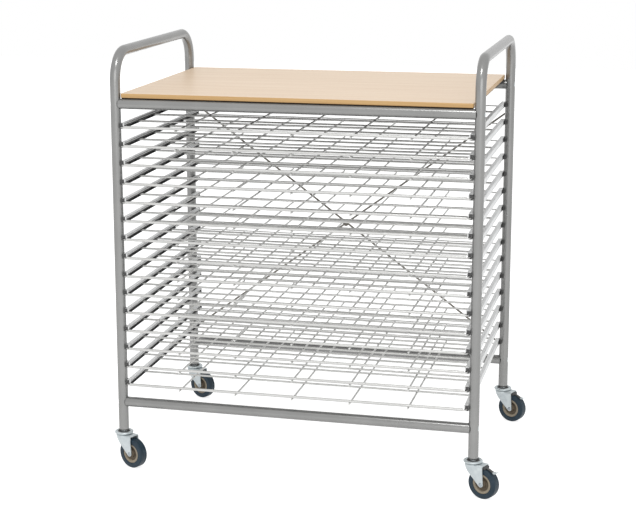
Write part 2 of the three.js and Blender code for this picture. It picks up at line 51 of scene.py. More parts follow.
MERGE_DISTANCE = 1e-4
FULL_TURN = 2 * math.pi

Pair = tuple[float, float]
Screen = tuple[int, int, int]
Colour = tuple[float, float, float, float]


class Side(Enum):
    """Left and right of the rack, as the sign of X."""

    LEFT = -1
    RIGHT = 1


class End(Enum):
    """Front and rear of the rack, as the sign of Y."""

    FRONT = -1
    REAR = 1


class Axis(Enum):
    """Axis that a turned profile runs along."""

    X = "x"
    Y = "y"
    Z = "z"


class Slot(Enum):
    """Material slots."""

    TUBE = "tube_coating"
    WIRE = "wire_coating"
    BRACE = "brace_coating"
    BOARD = "board"
    ZINC = "zinc"
    PLASTIC = "black_plastic"
    TYRE = "tyre"
    RIM = "rim"


# ---------------------------------------------------------------------------------- nodes


def linear(screen: Screen) -> Colour:
    """Turn an 8-bit screen colour into the linear colour that shaders use."""
    def channel(value: int) -> float:
        part = value / 255
        return part / 12.92 if part <= 0.04045 else ((part + 0.055) / 1.055) ** 2.4
    return (channel(screen[0]), channel(screen[1]), channel(screen[2]), 1.0)


def add_node(tree: bpy.types.NodeTree, kind: str, values: dict | None = None,
             **settings: object) -> bpy.types.Node:
    """Add a node, set it up and feed its inputs.

    Args:
        tree: Tree that takes the node.
        kind: Type name of the node.
        values: Input name or index, with the value or the socket that feeds it.
        settings: Properties of the node itself.

    Returns:
        The new node.
    """
    node = tree.nodes.new(kind)
    for name, setting in settings.items():
        setattr(node, name, setting)
    for key, value in (values or {}).items():
        if isinstance(value, bpy.types.NodeSocket):
            tree.links.new(value, node.inputs[key])
        else:
            node.inputs[key].default_value = value
    return node


def new_group(name: str, kind: str, inputs: dict[str, str],
              outputs: dict[str, str]) -> tuple[bpy.types.NodeTree, bpy.types.Node, bpy.types.Node]:
    """Start a node group with named sockets.

    Args:
        name: Name of the group.
        kind: Type of the tree.
        inputs: Names of the inputs with their socket types.
        outputs: Names of the outputs with their socket types.

    Returns:
        The tree, its input node and its output node.
    """
    tree = bpy.data.node_groups.new(name, kind)
    for socket, socket_type in inputs.items():
        tree.interface.new_socket(socket, in_out="INPUT", socket_type=socket_type)
    for socket, socket_type in outputs.items():
        tree.interface.new_socket(socket, in_out="OUTPUT", socket_type=socket_type)
    return tree, tree.nodes.new("NodeGroupInput"), tree.nodes.new("NodeGroupOutput")


class ShaderEffects:
    """Effects that several finishes share, each built once as a node group."""

    def __init__(self) -> None:
        """Build the groups."""
        self.cloud = self._cloud()
        self.grain = self._grain()
        self.wear = self._wear()
        self.streaks = self._streaks()

    @staticmethod
    def _cloud() -> bpy.types.NodeTree:
        """Drift between two colours in soft clouds."""
        tree, given, result = new_group(
            "cloudy_colour", "ShaderNodeTree",
            {"Vector": "NodeSocketVector", "Scale": "NodeSocketFloat",
             "Base": "NodeSocketColor", "Drift": "NodeSocketColor"},
            {"Colour": "NodeSocketColor", "Mask": "NodeSocketFloat"})
        noise = add_node(tree, "ShaderNodeTexNoise", {
            "Vector": given.outputs["Vector"], "Scale": given.outputs["Scale"],
            "Detail": 3.0, "Roughness": 0.55})
        spread = add_node(tree, "ShaderNodeMapRange", {
            "Value": noise.outputs["Fac"], "From Min": 0.32, "From Max": 0.68})
        mix = add_node(tree, "ShaderNodeMix", {
            0: spread.outputs["Result"], 6: given.outputs["Base"], 7: given.outputs["Drift"]},
            data_type="RGBA")
        tree.links.new(mix.outputs[2], result.inputs["Colour"])
        tree.links.new(spread.outputs["Result"], result.inputs["Mask"])
        return tree

    @staticmethod
    def _grain() -> bpy.types.NodeTree:
        """Give the fine relief of a coating or a moulded face."""
        tree, given, result = new_group(
            "fine_grain", "ShaderNodeTree",
            {"Vector": "NodeSocketVector", "Scale": "NodeSocketFloat"},
            {"Height": "NodeSocketFloat"})
        noise = add_node(tree, "ShaderNodeTexNoise", {
            "Vector": given.outputs["Vector"], "Scale": given.outputs["Scale"],
            "Detail": 2.0, "Roughness": 0.5})
        tree.links.new(noise.outputs["Fac"], result.inputs["Height"])
        return tree

    @staticmethod
    def _wear() -> bpy.types.NodeTree:
        """Mark sparse rubbed spots."""
        tree, given, result = new_group(
            "rubbed_spots", "ShaderNodeTree",
            {"Vector": "NodeSocketVector", "Scale": "NodeSocketFloat",
             "Amount": "NodeSocketFloat"},
            {"Mask": "NodeSocketFloat"})
        noise = add_node(tree, "ShaderNodeTexNoise", {
            "Vector": given.outputs["Vector"], "Scale": given.outputs["Scale"],
            "Detail": 5.0, "Roughness": 0.65, "Distortion": 0.4})
        spots = add_node(tree, "ShaderNodeMapRange", {
            "Value": noise.outputs["Fac"], "From Min": 0.58, "From Max": 0.74})
        amount = add_node(tree, "ShaderNodeMath", {
            0: spots.outputs["Result"], 1: given.outputs["Amount"]}, operation="MULTIPLY")
        tree.links.new(amount.outputs["Value"], result.inputs["Mask"])
        return tree

    @staticmethod
    def _streaks() -> bpy.types.NodeTree:
        """Give the long streaks and the short dark flecks of beech."""
        tree, given, result = new_group(
            "beech_streaks", "ShaderNodeTree",
            {"Vector": "NodeSocketVector", "Stretch": "NodeSocketVector",
             "Fleck Stretch": "NodeSocketVector"},
            {"Streak": "NodeSocketFloat", "Fleck": "NodeSocketFloat"})
        along = add_node(tree, "ShaderNodeVectorMath", {
            0: given.outputs["Vector"], 1: given.outputs["Stretch"]}, operation="MULTIPLY")
        streak = add_node(tree, "ShaderNodeTexNoise", {
            "Vector": along.outputs["Vector"], "Scale": 1.0, "Detail": 5.0,
            "Roughness": 0.62, "Distortion": 0.35})
        short = add_node(tree, "ShaderNodeVectorMath", {
            0: given.outputs["Vector"], 1: given.outputs["Fleck Stretch"]}, operation="MULTIPLY")
        fleck = add_node(tree, "ShaderNodeTexNoise", {
            "Vector": short.outputs["Vector"], "Scale": 1.0, "Detail": 1.0, "Roughness": 0.4})
        wide = add_node(tree, "ShaderNodeMapRange", {
            "Value": streak.outputs["Fac"], "From Min": 0.3, "From Max": 0.7})
        dark = add_node(tree, "ShaderNodeMapRange", {
            "Value": fleck.outputs["Fac"], "From Min": 0.6, "From Max": 0.72})
        tree.links.new(wide.outputs["Result"], result.inputs["Streak"])
        tree.links.new(dark.outputs["Result"], result.inputs["Fleck"])
        return tree


EFFECTS = ShaderEffects()


def start_material(name: str) -> tuple[bpy.types.Material, bpy.types.Node, bpy.types.NodeSocket]:
    """Start a node material.

    Args:
        name: Name of the material.

    Returns:
        The material, its principled shader and the object coordinates.
    """
    material = bpy.data.materials.new(name)
    material.use_nodes = True
    shader = material.node_tree.nodes["Principled BSDF"]
    place = add_node(material.node_tree, "ShaderNodeTexCoord")
    return material, shader, place.outputs["Object"]


@dataclass(frozen=True)
class Finish:
    """A painted, plated or moulded surface with drifting colour, rubbed spots and fine grain."""

    name: str
    base: Screen
    drift: Screen
    rubbed: Screen
    metallic: float
    roughness: float
    cloud_scale: float
    wear_scale: float
    wear_amount: float
    grain_scale: float
    grain_strength: float
    grain_depth: float = 0.00005
    rubbed_roughness: float = 0.18
    specular: float = 0.5
    # Darkening where the surface turns from the eye: partly paint flakes, partly painted shade on
    # edges.
    flop_and_edge_shade: float = 0.0

    def material(self) -> bpy.types.Material:
        """Return the material of this finish, built at its first use."""
        known = bpy.data.materials.get(self.name)
        return known or self._build()

    def _build(self) -> bpy.types.Material:
        """Build the node material."""
        material, shader, place = start_material(self.name)
        tree = material.node_tree
        cloud = add_node(tree, "ShaderNodeGroup", node_tree=EFFECTS.cloud)
        tree.links.new(place, cloud.inputs["Vector"])
        cloud.inputs["Scale"].default_value = self.cloud_scale
        cloud.inputs["Base"].default_value = linear(self.base)
        cloud.inputs["Drift"].default_value = linear(self.drift)
        wear = add_node(tree, "ShaderNodeGroup", node_tree=EFFECTS.wear)
        tree.links.new(place, wear.inputs["Vector"])
        wear.inputs["Scale"].default_value = self.wear_scale
        wear.inputs["Amount"].default_value = self.wear_amount
        grain = add_node(tree, "ShaderNodeGroup", node_tree=EFFECTS.grain)
        tree.links.new(place, grain.inputs["Vector"])
        grain.inputs["Scale"].default_value = self.grain_scale
        colour = add_node(tree, "ShaderNodeMix", {
            0: wear.outputs["Mask"], 6: cloud.outputs["Colour"], 7: linear(self.rubbed)},
            data_type="RGBA")
        rough = add_node(tree, "ShaderNodeMapRange", {
            "Value": wear.outputs["Mask"], "To Min": self.roughness,
            "To Max": self.roughness + self.rubbed_roughness})
        bump = add_node(tree, "ShaderNodeBump", {
            "Height": grain.outputs["Height"], "Strength": self.grain_strength,
            "Distance": self.grain_depth})
        tint = colour.outputs[2]
        # Painted shade, in part: the colour darkens towards edges that turn away from the eye.
        if self.flop_and_edge_shade:
            tint = self._paint_edge_shade(tree, tint)
        tree.links.new(tint, shader.inputs["Base Color"])
        tree.links.new(rough.outputs["Result"], shader.inputs["Roughness"])
        tree.links.new(bump.outputs["Normal"], shader.inputs["Normal"])
        shader.inputs["Metallic"].default_value = self.metallic
        shader.inputs["Specular IOR Level"].default_value = self.specular
        return material

    def _paint_edge_shade(self, tree: bpy.types.NodeTree,
                      tint: bpy.types.NodeSocket) -> bpy.types.NodeSocket:
        """Darken a colour where the surface turns away from the eye: partly the way flakes in a
        silver paint do, partly painted shade that gives round tubes dark edges.

        Args:
            tree: The material's node tree.
            tint: The colour as seen straight on.

        Returns:
            The colour as seen from any side.
        """
        facing = add_node(tree, "ShaderNodeLayerWeight", {"Blend": 0.5})
        dim = add_node(tree, "ShaderNodeMapRange", {
            "Value": facing.outputs["Facing"], "To Min": 1.0, "To Max": 1.0 - self.flop_and_edge_shade})
        darker = add_node(tree, "ShaderNodeVectorMath", {
            0: tint, "Scale": dim.outputs["Result"]}, operation="SCALE")
        return darker.outputs["Vector"]


@dataclass(frozen=True)
class BeechFinish:
    """Printed beech with streaks and flecks along one direction."""

    name: str
    light: Screen
    dark: Screen
    fleck: Screen
    stretch: tuple[float, float, float]
    fleck_stretch: tuple[float, float, float]
    roughness: float
    fleck_share: float = 0.35

    def material(self) -> bpy.types.Material:
        """Return the material of this finish, built at its first use."""
        known = bpy.data.materials.get(self.name)
        return known or self._build()

    def _build(self) -> bpy.types.Material:
        """Build the node material."""
        material, shader, place = start_material(self.name)
        tree = material.node_tree
        wood = add_node(tree, "ShaderNodeGroup", node_tree=EFFECTS.streaks)
        tree.links.new(place, wood.inputs["Vector"])
        wood.inputs["Stretch"].default_value = self.stretch
        wood.inputs["Fleck Stretch"].default_value = self.fleck_stretch
        ground = add_node(tree, "ShaderNodeMix", {
            0: wood.outputs["Streak"], 6: linear(self.light), 7: linear(self.dark)},
            data_type="RGBA")
        share = add_node(tree, "ShaderNodeMath", {
            0: wood.outputs["Fleck"], 1: self.fleck_share}, operation="MULTIPLY")
        colour = add_node(tree, "ShaderNodeMix", {
            0: share.outputs["Value"], 6: ground.outputs[2], 7: linear(self.fleck)},
            data_type="RGBA")
        bump = add_node(tree, "ShaderNodeBump", {
            "Height": wood.outputs["Streak"], "Strength": 0.05, "Distance": 0.0001})
        tree.links.new(colour.outputs[2], shader.inputs["Base Color"])
        tree.links.new(bump.outputs["Normal"], shader.inputs["Normal"])
        shader.inputs["Roughness"].default_value = self.roughness
        return material


# The tube coat darkens at grazing angles: partly its flakes, partly painted shade on the tube edges.
POWDER_COAT = Finish(
    "silver_powder_coat", (150, 150, 149), (142, 142, 141), (126, 126, 125), 0.6, 0.24,
    9.0, 24.0, 0.25, 900.0, 0.12, specular=0.4, flop_and_edge_shade=0.25)
RUNNER_COAT = Finish(
    "runner_powder_coat", (240, 241, 241), (231, 232, 232), (206, 207, 208), 0.1, 0.42,
    14.0, 30.0, 0.2, 900.0, 0.1, specular=0.35)
WIRE_COAT = Finish(
    "wire_powder_coat", (210, 210, 208), (202, 202, 200), (178, 178, 176), 0.5, 0.35,
    12.0, 40.0, 0.25, 1100.0, 0.1, specular=0.35)
BRACE_COAT = Finish(
    "brace_coat", (146, 141, 133), (132, 127, 119), (108, 103, 97), 0.25, 0.4,
    10.0, 40.0, 0.3, 1100.0, 0.1, specular=0.35)
ZINC = Finish(
    "zinc_plate", (200, 207, 209), (184, 192, 195), (158, 164, 167), 0.6, 0.36,
    60.0, 90.0, 0.3, 700.0, 0.08)
BLACK_PLASTIC = Finish(
    "black_plastic", (14, 14, 15), (18, 18, 19), (30, 30, 32), 0.0, 0.65,
    60.0, 120.0, 0.3, 1500.0, 0.2, specular=0.02)
TYRE_RUBBER = Finish(
    "tyre_rubber", (36, 55, 68), (30, 48, 60), (60, 76, 88), 0.0, 0.4,
    50.0, 90.0, 0.4, 1200.0, 0.25, specular=0.3)
RIM_PLASTIC = Finish(
    "rim_plastic", (160, 149, 131), (149, 138, 120), (124, 114, 99), 0.0, 0.48,
    55.0, 80.0, 0.3, 1200.0, 0.15, specular=0.3)
# Painted shade: the rim's own plastic, coloured darker where the wheel core lies recessed.
RIM_RECESS_SHADE = Finish(
    "rim_recess_painted_shade", (110, 100, 86), (98, 88, 75), (82, 73, 63), 0.0, 0.55,
    55.0, 80.0, 0.3, 1200.0, 0.15, specular=0.2)
RIVET = Finish(
    "rivet_steel", (168, 176, 182), (150, 158, 164), (128, 134, 140), 0.6, 0.4,
    90.0, 120.0, 0.3, 900.0, 0.08)
# Painted shade: a dark sheet under the board stands in for the shadow in the gap over the rails.
BOARD_PAINTED_SHADE = Finish(
    "board_painted_shade", (50, 38, 29), (42, 31, 24), (66, 52, 41), 0.0, 0.7,
    20.0, 40.0, 0.3, 800.0, 0.2, specular=0.1)
BOARD_FACE = BeechFinish(
    "beech_face", (228, 205, 178), (216, 189, 158), (187, 152, 117),
    (2.2, 62.0, 62.0), (120.0, 1500.0, 400.0), 0.38)
BOARD_EDGE = BeechFinish(
    "beech_edge", (208, 170, 116), (192, 152, 98), (164, 124, 76),
    (3.0, 3.0, 260.0), (150.0, 150.0, 1800.0), 0.42)

AnyFinish = Finish | BeechFinish


# ---------------------------------------------------------------------------------- shapes


def arc(centre: Pair, radius: float, start: float, end: float, steps: int) -> list[Pair]:
    """Give points along an arc.

    Args:
        centre: Centre of the arc.
        radius: Radius of the arc.
        start: First angle in degrees.
        end: Last angle in degrees.
        steps: Number of chords.

    Returns:
        The points, with both ends.
    """
    angles = [math.radians(start + (end - start) * i / steps) for i in range(steps + 1)]
    return [(centre[0] + radius * math.cos(a), centre[1] + radius * math.sin(a)) for a in angles]


def offset_path(path: Sequence[Pair], distance: float) -> list[Pair]:
    """Move an open path sideways, to the left of its direction for a positive distance."""
    moved = []
    for i, (x, y) in enumerate(path):
        ahead = Vector(path[min(i + 1, len(path) - 1)]) - Vector((x, y))
        behind = Vector((x, y)) - Vector(path[max(i - 1, 0)])
        ahead = ahead.normalized() if ahead.length else behind.normalized()
        behind = behind.normalized() if behind.length else ahead
        bisector = (ahead + behind).normalized()
        stretch = distance / max(bisector.dot(ahead), 0.2)
        moved.append((x - bisector.y * stretch, y + bisector.x * stretch))
    return moved


def rounded_rectangle(half_x: float, half_y: float, radius: float, steps: int) -> list[Pair]:
    """Give the outline of a rectangle with round corners."""
    outline: list[Pair] = []
    for turn, (sx, sy) in enumerate(((1, 1), (-1, 1), (-1, -1), (1, -1))):
        centre = (sx * (half_x - radius), sy * (half_y - radius))
        outline += arc(centre, radius, 90 * turn, 90 * turn + 90, steps)
    return outline


class Shape:
    """A closed mesh under construction, in millimetres."""

    def __init__(self) -> None:
        """Start with no faces."""
        self.bm = bmesh.new()

    def skin(self, loops: Sequence[Sequence[Vector]], wrap: bool = False,
             capped: bool = True) -> "Shape":
        """Join closed loops one after another.

        Args:
            loops: Loops of equally many points.
            wrap: Whether the last loop is joined to the first.
            capped: Whether the first and the last loop are filled.

        Returns:
            The shape itself.
        """
        rings = [[self.bm.verts.new(point) for point in loop] for loop in loops]
        pairs = list(zip(rings, rings[1:]))
        if wrap:
            pairs.append((rings[-1], rings[0]))
        for first, second in pairs:
            for i, vertex in enumerate(first):
                j = (i + 1) % len(first)
                self.bm.faces.new((vertex, first[j], second[j], second[i]))
        if capped and not wrap:
            self.bm.faces.new(rings[0])
            self.bm.faces.new(rings[-1])
        return self

    def prism(self, outline: Sequence[Pair], start: float, end: float, axis: Axis) -> "Shape":
        """Extrude an outline along an axis."""
        place: dict[Axis, Callable[[Pair, float], Vector]] = {
            Axis.X: lambda p, h: Vector((h, p[0], p[1])),
            Axis.Y: lambda p, h: Vector((p[0], h, p[1])),
            Axis.Z: lambda p, h: Vector((p[0], p[1], h)),
        }
        return self.skin([[place[axis](p, h) for p in outline] for h in (start, end)])

    def turned(self, profile: Sequence[Pair], axis: Axis, steps: int,
               centre: Vector = Vector((0, 0, 0)), closed: bool = False) -> "Shape":
        """Turn a profile about an axis.

        Args:
            profile: Radius and height of each point.
            axis: Axis of the turning.
            steps: Number of sides.
            centre: Point that the heights are counted from.
            closed: Whether the profile is a closed loop off the axis.

        Returns:
            The shape itself.
        """
        turns = [FULL_TURN * i / steps for i in range(steps)]
        place: dict[Axis, Callable[[float, float, float], Vector]] = {
            Axis.X: lambda r, h, a: Vector((h, r * math.cos(a), r * math.sin(a))),
            Axis.Y: lambda r, h, a: Vector((r * math.cos(a), h, r * math.sin(a))),
            Axis.Z: lambda r, h, a: Vector((r * math.cos(a), r * math.sin(a), h)),
        }
        loops = [[centre + place[axis](r, h, a) for a in turns] for r, h in profile]
        return self.skin(loops, wrap=closed, capped=False)

    def rod(self, path: Sequence[Vector], radius: float, steps: int, across: Vector) -> "Shape":
        """Sweep a circle along a path.

        Args:
            path: Points of the centreline.
            radius: Radius of the circle.
            steps: Number of sides.
            across: A direction that the path never runs along.

        Returns:
            The shape itself.
        """
        loops = []
        for i, point in enumerate(path):
            along = (path[min(i + 1, len(path) - 1)] - path[max(i - 1, 0)]).normalized()
            first = across.cross(along).normalized()
            second = along.cross(first)
            turns = [FULL_TURN * j / steps for j in range(steps)]
            loops.append([point + radius * (math.cos(a) * first + math.sin(a) * second)
                          for a in turns])
        return self.skin(loops)

    def piece(self, name: str, place: Matrix = Matrix.Identity(4)) -> bpy.types.Object:
        """Turn the shape into an object in metres.

        Args:
            name: Name of the object.
            place: Where the shape goes, in millimetres.

        Returns:
            The new object at the origin.
        """
        bmesh.ops.remove_doubles(self.bm, verts=self.bm.verts, dist=MERGE_DISTANCE)
        self.bm.transform(Matrix.Scale(MM, 4) @ place)
        bmesh.ops.recalc_face_normals(self.bm, faces=self.bm.faces)
        mesh = bpy.data.meshes.new(name)
        self.bm.to_mesh(mesh)
        self.bm.free()
        piece = bpy.data.objects.new(name, mesh)
        bpy.context.scene.collection.objects.link(piece)
        return piece


def bake(piece: bpy.types.Object) -> None:
    """Replace the mesh of a piece by the result of its modifiers."""
    bpy.context.view_layer.update()
    graph = bpy.context.evaluated_depsgraph_get()
    before = piece.data
    piece.data = bpy.data.meshes.new_from_object(piece.evaluated_get(graph), depsgraph=graph)
    piece.modifiers.clear()
    piece.data.name = piece.name
    bpy.data.meshes.remove(before)


def combine(piece: bpy.types.Object, other: bpy.types.Object, operation: str) -> None:
    """Join, cut or intersect a piece with another, which is used up.

    Args:
        piece: Piece that is changed.
        other: Piece that is used up.
        operation: UNION, DIFFERENCE or INTERSECT.
    """
    modifier = piece.modifiers.new("combine", "BOOLEAN")
    modifier.object = other
    modifier.operation = operation
    modifier.solver = "EXACT"
    bake(piece)
    used = other.data
    bpy.data.objects.remove(other)
    bpy.data.meshes.remove(used)


def soften(piece: bpy.types.Object, width: float, segments: int = 2, angle: float = 35) -> None:
    """Round the sharp edges of a piece.

    Args:
        piece: Piece that is changed.
        width: Width of the rounding in millimetres.
        segments: Facets across the rounding.
        angle: Smallest angle in degrees between faces that counts as an edge.
    """
    modifier = piece.modifiers.new("soften", "BEVEL")
    modifier.width = width * MM
    modifier.segments = segments
    modifier.limit_method = "ANGLE"
    modifier.angle_limit = math.radians(angle)
    modifier.harden_normals = False
    bake(piece)


# -------------------------------------------------------------------- geometry node trees


def copies_tree() -> bpy.types.NodeTree:
    """Build the tree that repeats a piece in rows, each row moved by a step."""
    tree, given, result = new_group(
        "rows_of_copies", "GeometryNodeTree",
        {"Geometry": "NodeSocketGeometry", "Count": "NodeSocketInt", "Step": "NodeSocketVector",
         "Rows": "NodeSocketInt", "Row Step": "NodeSocketVector", "Finish": "NodeSocketMaterial"},
        {"Geometry": "NodeSocketGeometry"})
    row = add_node(tree, "GeometryNodeMeshLine", {
        "Count": given.outputs["Count"], "Offset": given.outputs["Step"]}, mode="OFFSET")
    rows = add_node(tree, "GeometryNodeMeshLine", {
        "Count": given.outputs["Rows"], "Offset": given.outputs["Row Step"]}, mode="OFFSET")
    copies = add_node(tree, "GeometryNodeInstanceOnPoints", {
        "Points": row.outputs["Mesh"], "Instance": given.outputs["Geometry"]})
    all_copies = add_node(tree, "GeometryNodeInstanceOnPoints", {
        "Points": rows.outputs["Mesh"], "Instance": copies.outputs["Instances"]})
    plain = add_node(tree, "GeometryNodeRealizeInstances", {
        "Geometry": all_copies.outputs["Instances"]})
    dressed = add_node(tree, "GeometryNodeSetMaterial", {
        "Geometry": plain.outputs["Geometry"], "Material": given.outputs["Finish"]})
    tree.links.new(dressed.outputs["Geometry"], result.inputs["Geometry"])
    return tree


def wire_row_tree() -> bpy.types.NodeTree:
    """Build the tree that adds a row of straight round wires to what is there."""
    tree, given, result = new_group(
        "row_of_wires", "GeometryNodeTree",
        {"Geometry": "NodeSocketGeometry", "Start": "NodeSocketVector",
         "Along": "NodeSocketVector", "Diameter": "NodeSocketFloat", "Count": "NodeSocketInt",
         "Step": "NodeSocketVector", "Sides": "NodeSocketInt", "Finish": "NodeSocketMaterial"},
        {"Geometry": "NodeSocketGeometry"})
    radius = add_node(tree, "ShaderNodeMath", {
        0: given.outputs["Diameter"], 1: 0.5}, operation="MULTIPLY")
    section = add_node(tree, "GeometryNodeCurvePrimitiveCircle", {
        "Resolution": given.outputs["Sides"], "Radius": radius.outputs["Value"]})
    line = add_node(tree, "GeometryNodeCurvePrimitiveLine", {"End": given.outputs["Along"]})
    wire = add_node(tree, "GeometryNodeCurveToMesh", {
        "Curve": line.outputs["Curve"], "Profile Curve": section.outputs["Curve"],
        "Fill Caps": True})
    row = add_node(tree, "GeometryNodeMeshLine", {
        "Count": given.outputs["Count"], "Start Location": given.outputs["Start"],
        "Offset": given.outputs["Step"]}, mode="OFFSET")
    copies = add_node(tree, "GeometryNodeInstanceOnPoints", {
        "Points": row.outputs["Mesh"], "Instance": wire.outputs["Mesh"]})
    plain = add_node(tree, "GeometryNodeRealizeInstances", {
        "Geometry": copies.outputs["Instances"]})
    together = add_node(tree, "GeometryNodeJoinGeometry")
    tree.links.new(plain.outputs["Geometry"], together.inputs["Geometry"])
    tree.links.new(given.outputs["Geometry"], together.inputs["Geometry"])
    dressed = add_node(tree, "GeometryNodeSetMaterial", {
        "Geometry": together.outputs["Geometry"], "Material": given.outputs["Finish"]})
    tree.links.new(dressed.outputs["Geometry"], result.inputs["Geometry"])
    return tree


def wire_loop_tree() -> bpy.types.NodeTree:
    """Build the tree that adds a rectangular loop of round wire with bent corners."""
    tree, given, result = new_group(
        "loop_of_wire", "GeometryNodeTree",
        {"Geometry": "NodeSocketGeometry", "Centre": "NodeSocketVector",
         "Width": "NodeSocketFloat", "Depth": "NodeSocketFloat", "Corner": "NodeSocketFloat",
         "Diameter": "NodeSocketFloat", "Sides": "NodeSocketInt", "Finish": "NodeSocketMaterial"},
        {"Geometry": "NodeSocketGeometry"})
    radius = add_node(tree, "ShaderNodeMath", {
        0: given.outputs["Diameter"], 1: 0.5}, operation="MULTIPLY")
    section = add_node(tree, "GeometryNodeCurvePrimitiveCircle", {
        "Resolution": given.outputs["Sides"], "Radius": radius.outputs["Value"]})
    outline = add_node(tree, "GeometryNodeCurvePrimitiveQuadrilateral", {
        "Width": given.outputs["Width"], "Height": given.outputs["Depth"]})
    bent = add_node(tree, "GeometryNodeFilletCurve", {
        "Curve": outline.outputs["Curve"], "Radius": given.outputs["Corner"], "Count": 6},
        mode="POLY")
    wire = add_node(tree, "GeometryNodeCurveToMesh", {
        "Curve": bent.outputs["Curve"], "Profile Curve": section.outputs["Curve"]})
    placed = add_node(tree, "GeometryNodeTransform", {
        "Geometry": wire.outputs["Mesh"], "Translation": given.outputs["Centre"]})
    plain = add_node(tree, "GeometryNodeRealizeInstances", {
        "Geometry": placed.outputs["Geometry"]})
    together = add_node(tree, "GeometryNodeJoinGeometry")
    tree.links.new(plain.outputs["Geometry"], together.inputs["Geometry"])
    tree.links.new(given.outputs["Geometry"], together.inputs["Geometry"])
    dressed = add_node(tree, "GeometryNodeSetMaterial", {
        "Geometry": together.outputs["Geometry"], "Material": given.outputs["Finish"]})
    tree.links.new(dressed.outputs["Geometry"], result.inputs["Geometry"])
    return tree


COPIES = copies_tree()
WIRE_ROW = wire_row_tree()
WIRE_LOOP = wire_loop_tree()


def apply_tree(piece: bpy.types.Object, tree: bpy.types.NodeTree, values: dict) -> None:
    """Give a piece a geometry node tree with its inputs set by name.

    Args:
        piece: Piece that takes the tree.
        tree: The tree.
        values: Values of the named inputs.
    """
    modifier = piece.modifiers.new(tree.name, "NODES")
    modifier.node_group = tree
    for socket in tree.interface.items_tree:
        if socket.item_type == "SOCKET" and socket.in_out == "INPUT" and socket.name in values:
            modifier[socket.identifier] = values[socket.name]


# ------------------------------------------------------------------------- sub-assemblies


@dataclass
class SubAssembly:
    """Pieces that belong together."""

    pieces: list[bpy.types.Object] = field(default_factory=list, init=False)

    def build(self) -> None:
        """Build and dress all the pieces."""
        raise NotImplementedError

    def dress(self, piece: bpy.types.Object, finish: AnyFinish, slot: Slot, body: str = "rack",
              nodes: Iterable[str] = (), sharp: float = 40) -> bpy.types.Object:
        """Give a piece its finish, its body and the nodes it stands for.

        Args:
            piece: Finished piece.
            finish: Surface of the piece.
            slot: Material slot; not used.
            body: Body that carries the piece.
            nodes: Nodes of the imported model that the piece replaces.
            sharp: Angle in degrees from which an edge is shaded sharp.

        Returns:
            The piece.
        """
        piece.data.materials.clear()
        piece.data.materials.append(finish.material())
        for face in piece.data.polygons:
            face.use_smooth = True
            face.material_index = 0
        piece.data.set_sharp_from_angle(angle=math.radians(sharp))
        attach(piece, body)
        if nodes:
            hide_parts(*nodes)
        self.pieces.append(piece)
        return piece


